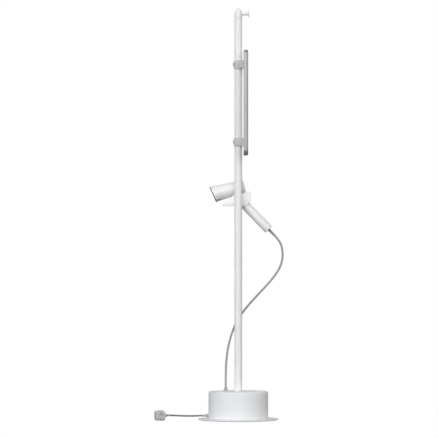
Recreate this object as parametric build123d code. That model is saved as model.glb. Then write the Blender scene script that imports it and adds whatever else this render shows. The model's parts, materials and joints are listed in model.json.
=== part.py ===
from build123d import *

import math
import os

# A free-standing post that holds a hand hair dryer, a swivelling mirror and a peg.
# Units are millimetres. Z is up, z = 0 is the floor, and the post stands on the Z axis.
# +X is the side of the mirror's face, where the user stands. The dryer hangs on the +Y side.

# Base
FOOT_RING_OUTER_R = 138.0
FOOT_RING_INNER_R = 112.0
FOOT_RING_TOP = 1.5
PLATE_R = 144.0
PLATE_TOP = 6.0
PLATE_EDGE = 1.6
DRUM_R = 107.5
DRUM_TOP = 104.0
DRUM_WALL = 1.8
DRUM_EDGE = 4.5
BALLAST_R = 88.0
BALLAST_TOP = 42.0
PILLAR_R = 6.0
PILLAR_CIRCLE_R = 96.0
SOCKET_FLANGE_R = 36.0
SOCKET_FLANGE_TOP = 12.0
SOCKET_TOP = 92.0
SCREW_R = 2.5
SCREW_HEAD_R = 5.0
SCREW_HEAD_DEPTH = 3.0

# Post and peg
POST_R = 14.0
POST_WALL = 1.5
POST_BORE_R = POST_R - POST_WALL
POST_TOP = 1444.0
DOME_BASE = 1467.0
DOME_TOP = 1483.0
SPIGOT_DEPTH = 28.0
PEG_Z = 1463.0
PEG_R = 6.2
PEG_END = 36.0
PEG_DISC_R = 11.8
PEG_DISC_THICK = 3.6

# Glands and cords
DRYER_GLAND_X = -45.3
DRYER_GLAND_Y = 40.0
GLAND_R = 7.0
GLAND_HEIGHT = 14.0
MAINS_GLAND_Z = 16.2
MAINS_GLAND_R = 5.8
MAINS_GLAND_END = -116.0
DRYER_CORD_R = 3.8
MAINS_CORD_R = 3.0
PLUG_YAW = 12.0
PLUG_HALF_WIDTH = 18.0

# Cradle
CRADLE_Y = 45.0
CRADLE_HALF_WIDTH = 22.0
SLOT_HALF_WIDTH = 17.75
CRADLE_FLOOR = 771.2
CRADLE_LEFT = -56.0
CRADLE_RIGHT = 45.0
ARM_HALF_WIDTH = 17.4
ARM_TOP = 806.0
ARM_FRONT = 3.0
CRADLE_SCREW_HEIGHTS = (785.0, 799.0)

# Mirror and its clips
CLIP_R = 19.6
CLIP_HEIGHT = 30.0
CLIP_HEIGHTS = {"upper": 1280.0, "lower": 1002.0}
LINER_BORE_R = POST_R + 0.05
LINER_R = 15.5
LINER_LIP_R = 17.0
LINER_LIP = 1.2
MIRROR_BACK = 19.1
MIRROR_SEAM = 28.6
MIRROR_FRONT = 34.9
MIRROR_BOTTOM = 954.0
MIRROR_TOP = 1329.0
MIRROR_WIDTH = 250.0
MIRROR_CORNER = 18.0
MIRROR_WALL = 1.6
MIRROR_RIM = 5.0
GLASS_THICK = 4.0
CLIP_PAD_HALF = 28.0
CLIP_SCREW_Y = 22.0

# Dryer, along its barrel's axis from the outlet to the intake
BARREL_FRONT = (-92.3, CRADLE_Y, 812.2)
BARREL_TILT = 15.1
BARREL_LENGTH = 116.0
BARREL_FRONT_R = 29.5
BARREL_REAR_R = 23.0
BARREL_WALL = 2.0
OUTLET_SLANT = 9.0
OUTLET_RING = 3.0
NOZZLE_RIM = 10.5
CAP_START = 108.0
GRIP_START = 66.2
GRIP_DIP = 45.93
GRIP_R = 17.0
GRIP_WALL = 2.0
GRIP_END = 199.0
RELIEF_LENGTH = 28.0
RELIEF_ROOT_R = 5.6
RELIEF_TIP_R = 4.6

NODES = {}


def disc(radius, low, high, x=0.0, y=0.0):
    """A cylinder along Z between two heights."""
    return Pos(x, y, (low + high) / 2) * Cylinder(radius, high - low)


def ring(outer, inner, low, high, x=0.0, y=0.0):
    """A disc with a round hole."""
    return disc(outer, low, high, x, y) - disc(inner, low - 1, high + 1, x, y)


def cone(low_r, high_r, low, high, x=0.0, y=0.0):
    """A cone's frustum along Z between two heights."""
    return Pos(x, y, (low + high) / 2) * Cone(low_r, high_r, high - low)


def block(low, high):
    """A box between two opposite corners."""
    size = [b - a for a, b in zip(low, high)]
    centre = [(a + b) / 2 for a, b in zip(low, high)]
    return Pos(*centre) * Box(*size)


def turned(*corners):
    """A solid turned about Z from the corners (radius, height) of its half section."""
    outline = Polyline(*[(radius, 0, height) for radius, height in corners], close=True)
    return revolve(make_face(outline), Axis.Z)


def around(count, radius, start=0.0):
    """The (x, y) places of equally spaced points on a circle."""
    turns = [math.radians(start + 360.0 * i / count) for i in range(count)]
    return [(radius * math.cos(turn), radius * math.sin(turn)) for turn in turns]


def group(shapes):
    """Separate solids that share one node."""
    return Compound(children=[solid for shape in shapes for solid in shape.solids()])


def rounded_panel(width, low, high, corner, back, front):
    """A panel that stands in the YZ plane, with rounded corners, from back to front along X."""
    outline = RectangleRounded(width, high - low, corner)
    plane = Plane(origin=(back, 0, (low + high) / 2), x_dir=(0, 1, 0), z_dir=(1, 0, 0))
    return extrude(plane * outline, front - back)


def countersunk_screw(low, high, x, y):
    """A countersunk screw whose head is at the bottom."""
    head = cone(SCREW_HEAD_R, SCREW_R, low, low + SCREW_HEAD_DEPTH, x, y)
    drive = disc(1.6, low - 1, low + 1.6, x, y)
    return head + disc(SCREW_R, low + SCREW_HEAD_DEPTH, high, x, y) - drive


def countersink(low, high, x, y):
    """The hole for a countersunk screw, with a little clearance."""
    gap = 0.1
    head = cone(SCREW_HEAD_R + gap, SCREW_R + gap, low, low + SCREW_HEAD_DEPTH, x, y)
    return head + disc(SCREW_R + gap, low, high, x, y)


def base():
    """The foot, ballast, drum and the socket that the post stands in."""
    pillar_places = around(3, PILLAR_CIRCLE_R)
    socket_places = around(3, 29.0)
    NODES["foot_ring"] = ring(FOOT_RING_OUTER_R, FOOT_RING_INNER_R, 0, FOOT_RING_TOP)

    plate = disc(PLATE_R, FOOT_RING_TOP, PLATE_TOP)
    plate = fillet(plate.edges().group_by(Axis.Z)[-1], PLATE_EDGE)
    for x, y in pillar_places + socket_places:
        plate -= countersink(FOOT_RING_TOP, PLATE_TOP + 1, x, y)
    NODES["foot_plate"] = plate

    roof = DRUM_TOP - DRUM_WALL
    outer = disc(DRUM_R, PLATE_TOP, DRUM_TOP)
    outer = fillet(outer.edges().group_by(Axis.Z)[-1], DRUM_EDGE)
    inner = disc(DRUM_R - DRUM_WALL, PLATE_TOP, roof)
    inner = fillet(inner.edges().group_by(Axis.Z)[-1], DRUM_EDGE - DRUM_WALL)
    cover = outer - inner - disc(POST_R + 0.15, roof - 1, DRUM_TOP + 1)
    cover -= disc(4.6, roof - 1, DRUM_TOP + 1, DRYER_GLAND_X, DRYER_GLAND_Y)
    side_hole = Pos(-DRUM_R, 0, MAINS_GLAND_Z) * Rot(0, 90, 0) * Cylinder(4.1, 10)
    NODES["drum_cover"] = cover - side_hole

    ballast = ring(BALLAST_R, SOCKET_FLANGE_R + 2, PLATE_TOP, BALLAST_TOP)
    for x, y in pillar_places:
        ballast -= disc(PILLAR_R + 1.5, PLATE_TOP - 1, BALLAST_TOP + 1, x, y)
    NODES["ballast_disc"] = fillet(ballast.edges().group_by(Axis.Z)[-1], 0.8)

    pillars = []
    cover_screws = []
    for x, y in pillar_places:
        pillars.append(disc(PILLAR_R, PLATE_TOP, roof, x, y) - disc(SCREW_R, PLATE_TOP, 22, x, y))
        cover_screws.append(countersunk_screw(FOOT_RING_TOP, 20, x, y))
    NODES["cover_pillars"] = group(pillars)
    NODES["cover_screws"] = group(cover_screws)

    flange = disc(SOCKET_FLANGE_R, PLATE_TOP, SOCKET_FLANGE_TOP)
    spigot = disc(POST_BORE_R - 0.1, SOCKET_FLANGE_TOP, SOCKET_TOP)
    socket = flange + chamfer(spigot.edges().group_by(Axis.Z)[-1], 2) - disc(6, 0, SOCKET_TOP + 1)
    for x, y in socket_places:
        socket -= disc(SCREW_R, 0, SOCKET_FLANGE_TOP + 1, x, y)
    NODES["post_socket"] = socket
    NODES["socket_screws"] = group(
        [countersunk_screw(FOOT_RING_TOP, SOCKET_FLANGE_TOP, x, y) for x, y in socket_places]
    )

    block_low = (-66, -12, BALLAST_TOP)
    block_high = (-44, 20, BALLAST_TOP + 16)
    terminals = block(block_low, block_high)
    terminals = fillet(terminals.edges().filter_by(Axis.Z), 2)
    holes = [(-55.0, -6.0 + 10.0 * i) for i in range(3)]
    for x, y in holes:
        terminals -= disc(2.6, BALLAST_TOP + 6, BALLAST_TOP + 17, x, y)
    NODES["terminal_block"] = terminals
    NODES["terminal_screws"] = group(
        [disc(2.4, BALLAST_TOP + 6, BALLAST_TOP + 13, x, y) for x, y in holes]
    )


def post():
    """The tube, its domed cap and the peg."""
    tube = ring(POST_R, POST_BORE_R, SOCKET_FLANGE_TOP, POST_TOP)
    for height in CRADLE_SCREW_HEIGHTS:
        tube -= Pos(0, POST_R, height) * Rot(90, 0, 0) * Cylinder(3.5, 6)
    NODES["post_tube"] = tube

    dome_outline = [
        Line((0, 0, DOME_TOP), (0, 0, POST_TOP)),
        Line((0, 0, POST_TOP), (POST_R, 0, POST_TOP)),
        Line((POST_R, 0, POST_TOP), (POST_R, 0, DOME_BASE)),
        Spline(
            (POST_R, 0, DOME_BASE),
            (12.7, 0, 1470.6),
            (8.6, 0, 1475.6),
            (3.8, 0, 1480.6),
            (0, 0, DOME_TOP),
            tangents=[(0, 0, 1), (-1, 0, 0.15)],
        ),
    ]
    cap = revolve(make_face(dome_outline), Axis.Z)
    spigot = disc(POST_BORE_R - 0.1, POST_TOP - SPIGOT_DEPTH, POST_TOP)
    cap += spigot
    cap -= Pos(6, 0, PEG_Z) * Rot(0, 90, 0) * Cylinder(2.5, 30)
    NODES["post_cap"] = cap

    along_x = Rot(0, 90, 0)
    rod = Pos(PEG_END / 2 + 4, 0, PEG_Z) * along_x * Cylinder(PEG_R, PEG_END - 8)
    rod -= disc(POST_R, PEG_Z - 20, DOME_TOP)
    rod -= Pos(PEG_END / 2, 0, PEG_Z) * along_x * Cylinder(2.5, PEG_END - 6)
    NODES["peg_rod"] = rod
    disc_end = Pos(PEG_END + PEG_DISC_THICK / 2, 0, PEG_Z) * along_x
    disc_end *= Cylinder(PEG_DISC_R, PEG_DISC_THICK)
    NODES["peg_disc"] = fillet(disc_end.edges(), 1.1)
    NODES["peg_stud"] = Pos(12, 0, PEG_Z) * along_x * Cylinder(2.45, 40)


def glands():
    """The two cable glands of the drum, with their nuts inside it."""
    roof = DRUM_TOP - DRUM_WALL
    body = disc(GLAND_R, DRUM_TOP, DRUM_TOP + 9) + cone(
        GLAND_R, 4.8, DRUM_TOP + 9, DRUM_TOP + GLAND_HEIGHT
    )
    body = fillet(body.edges().group_by(Axis.Z)[-1], 0.8)
    body = Pos(DRYER_GLAND_X, DRYER_GLAND_Y, 0) * body
    body += disc(4.5, roof - 8, DRUM_TOP, DRYER_GLAND_X, DRYER_GLAND_Y)
    NODES["dryer_gland"] = body

    front = -DRUM_R - MAINS_GLAND_END
    side = Plane(origin=(-DRUM_R, 0, MAINS_GLAND_Z), x_dir=(0, 1, 0), z_dir=(-1, 0, 0)).location
    neck = cone(MAINS_GLAND_R, 4.0, front - 3, front)
    NODES["mains_gland"] = side * (disc(MAINS_GLAND_R, 0.6, front - 3) + neck + disc(4, -9, 0.6))
    dryer_nut = extrude(RegularPolygon(7.5, 6), 4) - disc(4.5, -1, 5)
    dryer_nut = Pos(DRYER_GLAND_X, DRYER_GLAND_Y, roof - 4) * dryer_nut
    mains_nut = side * Pos(0, 0, -6.5) * (extrude(RegularPolygon(6.5, 6), 3.6) - disc(4, -1, 5))
    NODES["gland_nuts"] = group([dryer_nut, mains_nut])


def barrel_frame():
    """Z runs along the barrel from its outlet, X is +Y of the row and Y points upwards."""
    tilt = math.radians(BARREL_TILT)
    return Plane(origin=BARREL_FRONT, x_dir=(0, 1, 0), z_dir=(math.cos(tilt), 0, math.sin(tilt)))


def grip_frame():
    """Z runs down the grip from the barrel's axis, X is +Y of the row."""
    tilt = math.radians(BARREL_TILT)
    dip = math.radians(GRIP_DIP)
    origin = (
        BARREL_FRONT[0] + GRIP_START * math.cos(tilt),
        CRADLE_Y,
        BARREL_FRONT[2] + GRIP_START * math.sin(tilt),
    )
    return Plane(origin=origin, x_dir=(0, 1, 0), z_dir=(math.cos(dip), 0, -math.sin(dip)))


def barrel_radius(distance):
    """The barrel's outer radius at a distance from its outlet."""
    return BARREL_FRONT_R + (BARREL_REAR_R - BARREL_FRONT_R) * distance / BARREL_LENGTH


def barrel_piece(start, end, inset=0.0):
    """A length of the barrel's cone, in the barrel's frame."""
    return cone(barrel_radius(start) - inset, barrel_radius(end) - inset, start, end)


def outlet_cutter(depth):
    """What lies in front of the slanted plane at a depth behind the outlet's centre."""
    return Pos(0, 0, depth) * Rot(-OUTLET_SLANT, 0, 0) * Pos(0, 0, -40) * Box(140, 140, 80)


def cradle():
    """The saddle on the post, with two cheeks beside the dryer's grip, and its screws."""
    floor = CRADLE_FLOOR
    heel = (CRADLE_LEFT, 0, floor)
    nose = (CRADLE_LEFT, 0, 785.0)
    top = (-14.8, 0, 806.3)
    ear_foot = (29.5, 0, 820.4)
    ear_top = (34.5, 0, 827.2)
    ear_side = (CRADLE_RIGHT, 0, 815.0)
    hip = (CRADLE_RIGHT, 0, 788.5)
    sole = (16.0, 0, floor)
    outline = [
        Line(heel, nose),
        ThreePointArc(nose, (-37.6, 0, 798.6), top),
        Line(top, ear_foot),
        ThreePointArc(ear_foot, (31.6, 0, 823.5), ear_top),
        ThreePointArc(ear_top, (42.3, 0, 823.0), ear_side),
        Line(ear_side, hip),
        ThreePointArc(hip, (35.2, 0, 776.6), sole),
        Line(sole, heel),
    ]
    far = CRADLE_Y + CRADLE_HALF_WIDTH
    near = CRADLE_Y - CRADLE_HALF_WIDTH
    body = Pos(0, far, 0) * extrude(make_face(outline), 2 * CRADLE_HALF_WIDTH, dir=(0, -1, 0))
    body = fillet(body.edges().filter_by(Axis.Y).sort_by(Axis.X)[0:2], 2.5)
    body = fillet(
        body.edges().filter_by(lambda e: e.center().Y < near + 0.1 or e.center().Y > far - 0.1), 1.0
    )
    slot = block((-SLOT_HALF_WIDTH, -GRIP_R - 0.6, -60), (SLOT_HALF_WIDTH, 120, 160))
    body -= grip_frame().location * slot
    body -= barrel_frame().location * barrel_piece(0, BARREL_LENGTH + 6, -0.4)
    arm = block((-ARM_HALF_WIDTH, ARM_FRONT, floor), (ARM_HALF_WIDTH, near + 2, ARM_TOP))
    arm = fillet(arm.edges().filter_by(Axis.Z).group_by(Axis.Y)[0], 1.2)
    body += arm
    body -= disc(POST_R + 0.02, floor - 1, ARM_TOP + 1)

    along_y = Rot(90, 0, 0)
    inner_face = CRADLE_Y - SLOT_HALF_WIDTH
    screws = []
    inserts = []
    for height in CRADLE_SCREW_HEIGHTS:
        seat = Plane(origin=(0, inner_face, height), x_dir=(1, 0, 0), z_dir=(0, -1, 0)).location
        body -= seat * countersink(0, 30, 0, 0)
        body -= Pos(0, far - 2, height) * along_y * Cylinder(SCREW_HEAD_R + 0.6, 12)
        screws.append(seat * countersunk_screw(0, inner_face - 8.5, 0, 0))
        insert = Pos(0, 10.9, height) * along_y * Cylinder(3.45, 5.0)
        insert -= Pos(0, 10.9, height) * along_y * Cylinder(SCREW_R, 8)
        inserts.append(insert)
    NODES["cradle_body"] = body
    NODES["cradle_screws"] = group(screws)
    NODES["cradle_inserts"] = group(inserts)


def clip(height):
    """A moulded clip: a tongue round the post with two pads that meet the mirror's back."""
    half = CLIP_HEIGHT / 2
    tongue = disc(CLIP_R, height - half, height + half)
    tongue += block((0, -CLIP_R, height - half), (MIRROR_BACK, CLIP_R, height + half))
    pads = block((10.5, -CLIP_PAD_HALF, height - half), (MIRROR_BACK, CLIP_PAD_HALF, height + half))
    body = tongue + pads
    profile = Rectangle(MIRROR_BACK + CLIP_R - half, CLIP_HEIGHT)
    profile = Pos((MIRROR_BACK - CLIP_R + half) / 2, 0) * profile + Pos(half - CLIP_R, 0) * Circle(half)
    side = Plane(origin=(0, 40, height), x_dir=(1, 0, 0), z_dir=(0, -1, 0))
    body = body & extrude(side * profile, 80)
    bore = disc(LINER_R + 0.05, height - half - 1, height + half + 1)
    for sign in (-1, 1):
        edge = height + sign * half
        bore += disc(LINER_LIP_R + 0.15, edge - 1.6, edge + 1.6)
    body -= bore
    for y in (-CLIP_SCREW_Y, CLIP_SCREW_Y):
        body -= Pos(MIRROR_BACK, y, height) * Rot(0, 90, 0) * Cylinder(1.9, 15)
    return body


def liner(height):
    """A split sleeve with a lip at each end, between the post and a clip."""
    half = CLIP_HEIGHT / 2 - 0.2
    body = disc(LINER_R, height - half, height + half)
    for sign in (-1, 1):
        centre = height + sign * (half - LINER_LIP / 2)
        body += disc(LINER_LIP_R, centre - LINER_LIP / 2, centre + LINER_LIP / 2)
    body -= disc(LINER_BORE_R, height - half - 1, height + half + 1)
    return body - block((0, -1.5, height - 20), (20, 1.5, height + 20))


def mirror():
    """The mirror's tray, core, glass and front frame, and the clips that carry them."""
    wall = MIRROR_WALL
    low = MIRROR_BOTTOM
    high = MIRROR_TOP
    tray = rounded_panel(MIRROR_WIDTH, low, high, MIRROR_CORNER, MIRROR_BACK, MIRROR_SEAM)
    tray -= rounded_panel(
        MIRROR_WIDTH - 2 * wall, low + wall, high - wall, MIRROR_CORNER - wall,
        MIRROR_BACK + wall, MIRROR_SEAM + 1,
    )
    core_wall = wall + 0.3
    glass_front = MIRROR_FRONT - 1.2
    glass_back = glass_front - GLASS_THICK
    core = rounded_panel(
        MIRROR_WIDTH - 2 * core_wall, low + core_wall, high - core_wall, MIRROR_CORNER - core_wall,
        MIRROR_BACK + wall, glass_back - 0.2,
    )
    frame = rounded_panel(MIRROR_WIDTH, low, high, MIRROR_CORNER, MIRROR_SEAM, MIRROR_FRONT)
    frame = fillet(frame.edges().group_by(Axis.X)[-1], 3.2)
    rim = MIRROR_RIM
    frame -= rounded_panel(
        MIRROR_WIDTH - 2 * rim, low + rim, high - rim, MIRROR_CORNER - rim,
        MIRROR_SEAM - 1, MIRROR_FRONT + 1,
    )
    rebate = rim - 2.0
    frame -= rounded_panel(
        MIRROR_WIDTH - 2 * rebate, low + rebate, high - rebate, MIRROR_CORNER - rebate,
        MIRROR_SEAM - 1, glass_front,
    )
    core = core & rounded_panel(
        MIRROR_WIDTH - 2 * rebate - 0.2, low + rebate + 0.1, high - rebate - 0.1,
        MIRROR_CORNER - rebate, MIRROR_BACK, MIRROR_FRONT,
    )
    glass = rounded_panel(
        MIRROR_WIDTH - 2 * rebate - 0.2, low + rebate + 0.1, high - rebate - 0.1,
        MIRROR_CORNER - rebate, glass_back, glass_front,
    )

    screws = []
    for name, height in CLIP_HEIGHTS.items():
        NODES[name + "_clip"] = clip(height)
        NODES[name + "_liner"] = liner(height)
        for y in (-CLIP_SCREW_Y, CLIP_SCREW_Y):
            seat = Plane(origin=(MIRROR_BACK + wall, y, height), x_dir=(0, 1, 0), z_dir=(-1, 0, 0))
            tray -= seat.location * disc(1.95, -1, 3)
            core -= seat.location * disc(4.6, -4, 1)
            screw = disc(4.0, -2.6, 0) + disc(1.85, 0, 8.5) - disc(1.2, -3, -1)
            screws.append(seat.location * screw)
    NODES["mirror_tray"] = tray
    NODES["mirror_core"] = core
    NODES["mirror_frame"] = frame
    NODES["mirror_glass"] = glass
    NODES["clip_screws"] = group(screws)


def dryer_barrel():
    """The dryer's barrel: outlet, shell, heater, motor, fan and intake cap."""
    place = barrel_frame().location
    grip = grip_frame().location
    wall = BARREL_WALL
    shell = barrel_piece(0, CAP_START) - barrel_piece(-1, CAP_START + 1, wall)
    grip_hole = place.inverse() * grip * disc(GRIP_R - GRIP_WALL, 5, 40)
    NODES["barrel_shell"] = place * (shell - outlet_cutter(NOZZLE_RIM) - grip_hole)

    rim = barrel_piece(-8, 24) - barrel_piece(-9, 25, wall)
    rim = rim - outlet_cutter(OUTLET_RING)
    rim = rim & outlet_cutter(NOZZLE_RIM)
    NODES["nozzle_rim"] = place * rim
    ring_r = BARREL_FRONT_R - 0.4
    lip = disc(ring_r, -8, 12) - disc(ring_r - 4.6, -9, 13)
    lip = (lip - outlet_cutter(0)) & outlet_cutter(OUTLET_RING)
    NODES["outlet_ring"] = place * lip

    grille_low = 15.0
    grille_high = 17.0
    inner_r = barrel_radius(grille_high) - wall - 0.2
    grille = ring(inner_r, inner_r - 1.6, grille_low, grille_high)
    for radius in (6.0, 12.0, 18.0):
        grille += ring(radius + 0.6, radius - 0.6, grille_low, grille_high)
    spoke = block((-inner_r + 0.8, -0.6, grille_low), (inner_r - 0.8, 0.6, grille_high))
    for turn in (0, 60, 120):
        grille += Rot(0, 0, turn) * spoke
    NODES["outlet_grille"] = place * grille

    heater_r = 21.0
    plate = block((-heater_r, -0.4, 20), (heater_r, 0.4, 56))
    NODES["heater_frame"] = place * (plate + Rot(0, 0, 90) * plate)
    coils = []
    for index in range(6):
        z = 23.0 + 6.0 * index
        for radius in (10.0, 17.0):
            turn = ring(radius + 0.5, radius - 0.5, z, z + 1.0)
            for angle in (0, 90):
                turn -= Rot(0, 0, angle) * block((-30, -0.5, z - 1), (30, 0.5, z + 2))
            coils.append(turn)
    NODES["heater_coils"] = place * group(coils)

    mount_r = barrel_radius(84) - wall - 0.3
    mount = ring(mount_r, mount_r - 1.4, 76, 84) + ring(12.6, 11.1, 76, 84)
    for turn in (0, 120, 240):
        mount += Rot(0, 0, turn) * block((12.0, -0.8, 76), (mount_r - 0.6, 0.8, 84))
    NODES["motor_mount"] = place * mount
    motor = disc(11.0, 66, 88) + disc(4.0, 88, 90) - disc(1.06, 80, 91)
    NODES["motor"] = place * motor
    hub = disc(6.0, 93, 102) + disc(1.0, 82, 93)
    blade = block((5.0, -0.5, -4.0), (17.8, 0.5, 4.0))
    for index in range(7):
        turn = 360.0 / 7 * index
        hub += Rot(0, 0, turn) * Pos(0, 0, 97.5) * Rot(35, 0, 0) * blade
    NODES["impeller"] = place * (hub & disc(18.0, 80, 103))

    cap_end = BARREL_LENGTH
    cap = barrel_piece(CAP_START, cap_end)
    crown = turned((0, cap_end), (BARREL_REAR_R, cap_end), (BARREL_REAR_R - 2.4, cap_end + 1.8),
                   (12.0, cap_end + 3.4), (0, cap_end + 3.8))
    cap += crown
    cap = fillet(cap.edges().filter_by(GeomType.CIRCLE).group_by(Axis.Z)[-3:-1][0], 0.6)
    cap -= barrel_piece(CAP_START - 1, cap_end - 1, wall)
    holes = disc(1.2, CAP_START, cap_end + 6)
    for count, radius in ((6, 4.6), (12, 9.2), (18, 13.8)):
        for x, y in around(count, radius):
            holes += disc(1.2, CAP_START, cap_end + 6, x, y)
    NODES["rear_cap"] = place * (cap - holes)
    NODES["intake_filter"] = place * disc(barrel_radius(114) - wall - 0.2, 112.6, 114.6)


def dryer_grip():
    """The dryer's grip: shell, end cap, board, switch slider, cool button and strain relief."""
    place = grip_frame().location
    barrel = barrel_frame().location
    saddle = place.inverse() * barrel * barrel_piece(-10, BARREL_LENGTH + 10)
    shell = ring(GRIP_R, GRIP_R - GRIP_WALL, 5, GRIP_END - 4)
    shell -= saddle
    slider_z = 122.0
    button_z = 152.0
    slider_slot = block((GRIP_R - 4, -3.2, slider_z - 4), (GRIP_R + 4, 3.2, slider_z + 20))
    button_hole = Pos(GRIP_R, 0, button_z) * Rot(0, 90, 0) * Cylinder(4.3, 10)
    NODES["grip_shell"] = place * (shell - slider_slot - button_hole)

    end_cap = disc(GRIP_R, GRIP_END - 4, GRIP_END) + disc(
        GRIP_R - GRIP_WALL - 0.1, GRIP_END - 10, GRIP_END - 4
    )
    end_cap = fillet(end_cap.edges().group_by(Axis.Z)[-1], 1.0)
    end_cap -= disc(RELIEF_ROOT_R + 0.1, GRIP_END - 11, GRIP_END + 1)
    NODES["grip_end_cap"] = place * end_cap
    relief = disc(RELIEF_ROOT_R, GRIP_END - 8, GRIP_END)
    relief += cone(RELIEF_ROOT_R, RELIEF_TIP_R, GRIP_END, GRIP_END + RELIEF_LENGTH)
    relief += disc(7.5, GRIP_END - 14, GRIP_END - 10) + disc(RELIEF_ROOT_R, GRIP_END - 10, GRIP_END - 8)
    NODES["grip_strain_relief"] = place * relief
    NODES["control_board"] = place * block((4.0, -10.0, 104), (5.6, 10.0, 172))

    slider = block((GRIP_R - 3.6, -2.9, slider_z - 3.6), (GRIP_R - 0.4, 2.9, slider_z + 11.4))
    pad = block((GRIP_R - 0.4, -2.9, slider_z - 3.6), (GRIP_R + 1.4, 2.9, slider_z + 11.4))
    pad = fillet(pad.edges().group_by(Axis.X)[-1], 0.6)
    NODES["speed_slider"] = place * (slider + pad)
    button = Pos(GRIP_R - 1.4, 0, button_z) * Rot(0, 90, 0) * Cylinder(4.0, 6.2)
    button = fillet(button.edges().group_by(Axis.X)[-1], 0.8)
    NODES["cool_button"] = place * button


def cord_tube(points, radius):
    """A round tube along straight runs that are joined by arcs as large as the runs allow."""
    places = [Vector(*point) for point in points]
    runs = [b - a for a, b in zip(places, places[1:])]
    radii = []
    for before, after in zip(runs, runs[1:]):
        half_turn = math.radians(before.get_angle(after)) / 2
        radii.append(0.45 * min(before.length, after.length) / math.tan(half_turn))
    path = FilletPolyline(*places, radius=radii)
    section = Plane(origin=places[0], z_dir=runs[0].normalized()) * Circle(radius)
    tube = sweep(section, path=path)
    expected = math.pi * radius**2 * path.length
    print("cord radii", [round(r) for r in radii])
    print("cord length %.1f, volume ratio %.4f" % (path.length, tube.volume / expected))
    return tube


def plug_start():
    """The point where the mains cord enters the plug's sleeve, and the plug's direction."""
    yaw = math.radians(PLUG_YAW)
    direction = (-math.cos(yaw), -math.sin(yaw), 0.0)
    last_bend = (-242.0, -10.6, PLUG_HALF_WIDTH)
    last_run = 16.0
    return tuple(a + last_run * b for a, b in zip(last_bend, direction)), direction


def cords():
    """The dryer's cord from its grip to the drum, and the mains cord from the drum to the plug."""
    grip_tip = grip_frame().from_local_coords(Vector(0, 0, GRIP_END + RELIEF_LENGTH))
    out = grip_tip + grip_frame().z_dir * 15
    NODES["dryer_cord"] = cord_tube(
        [
            (grip_tip.X, grip_tip.Y, grip_tip.Z),
            (out.X, out.Y, out.Z),
            (152.4, 46.0, 638.0),
            (159.2, 47.0, 616.0),
            (161.0, 48.0, 590.0),
            (155.5, 49.5, 561.0),
            (142.0, 51.0, 534.0),
            (121.0, 52.0, 505.5),
            (93.0, 52.5, 474.0),
            (62.0, 52.0, 441.5),
            (33.0, 50.0, 409.0),
            (8.0, 48.0, 377.0),
            (-12.0, 46.0, 342.0),
            (-27.5, 44.0, 300.0),
            (-38.5, 42.0, 254.0),
            (-44.0, 40.6, 204.0),
            (DRYER_GLAND_X, DRYER_GLAND_Y, 158.0),
            (DRYER_GLAND_X, DRYER_GLAND_Y, DRUM_TOP + GLAND_HEIGHT),
        ],
        DRYER_CORD_R,
    )
    entry, _ = plug_start()
    NODES["mains_cord"] = cord_tube(
        [
            (MAINS_GLAND_END, 0.0, MAINS_GLAND_Z),
            (-134.0, 0.0, MAINS_GLAND_Z),
            (-162.0, -0.6, 15.2),
            (-192.0, -2.6, 15.3),
            (-220.0, -6.4, 16.6),
            (-242.0, -10.6, PLUG_HALF_WIDTH),
            entry,
        ],
        MAINS_CORD_R,
    )


def plug():
    """The angled earthed plug, which lies on its flat side with its pins level."""
    entry, direction = plug_start()
    back = (direction[1], -direction[0], 0.0)
    place = Plane(origin=entry, x_dir=direction, z_dir=back).location
    sleeve_end = 10.8
    body_end = 46.8
    face = -30.6
    top = 7.8
    half = PLUG_HALF_WIDTH
    profile = make_face(
        Polyline(
            (sleeve_end, 0, face), (body_end, 0, face), (body_end, 0, -6.5),
            (32.0, 0, top), (sleeve_end, 0, top), close=True,
        )
    )
    body = Pos(0, half, 0) * extrude(profile, 2 * half, dir=(0, -1, 0))
    body = fillet(body.edges().filter_by(Axis.Z), 8.0)
    body = fillet(body.edges().group_by(Axis.Z)[0], 1.0)
    centre = (sleeve_end + body_end) / 2
    pins = []
    clips = []
    for y in (-9.5, 9.5):
        body -= disc(2.4, face - 1, face + 8, centre, y)
        pin = disc(2.4, face - 19, face + 8, centre, y)
        pins.append(fillet(pin.edges().group_by(Axis.Z)[0], 2.0))
    for x, sign in ((sleeve_end, 1), (body_end, -1)):
        inner = x + sign * 1.2
        strip = block((min(x, inner), -2.4, face), (max(x, inner), 2.4, face + 13))
        body -= strip
        clips.append(strip)
    NODES["plug_body"] = place * body
    NODES["plug_pins"] = place * group(pins)
    NODES["plug_earth_clips"] = place * group(clips)
    sleeve = Plane(origin=(0, 0, 0), x_dir=(0, 1, 0), z_dir=(1, 0, 0)).location
    NODES["plug_sleeve"] = place * sleeve * cone(4.6, 6.2, 0, sleeve_end)


base()
post()
glands()
cradle()
mirror()
dryer_barrel()
dryer_grip()
cords()
plug()

os.makedirs("parts", exist_ok=True)
for name, shape in NODES.items():
    export_step(shape, os.path.join("parts", name + ".step"))
    print(name, len(shape.solids()), round(shape.volume / 1000, 2), "cm3")
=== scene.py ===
"""Looks for a slim floor post that carries a mirror, a peg and a hand hair dryer in a cradle.

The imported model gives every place. Sizes here are millimetres, and the bench turns them into metres
when it makes a mesh. +Z is up, +X is the mirror's side and +Y the side where the dryer hangs.
"""

import json
import logging
import math
from dataclasses import dataclass, field
from enum import Enum
from typing import Callable, Sequence

import bpy
from mathutils import Matrix, Vector

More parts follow.
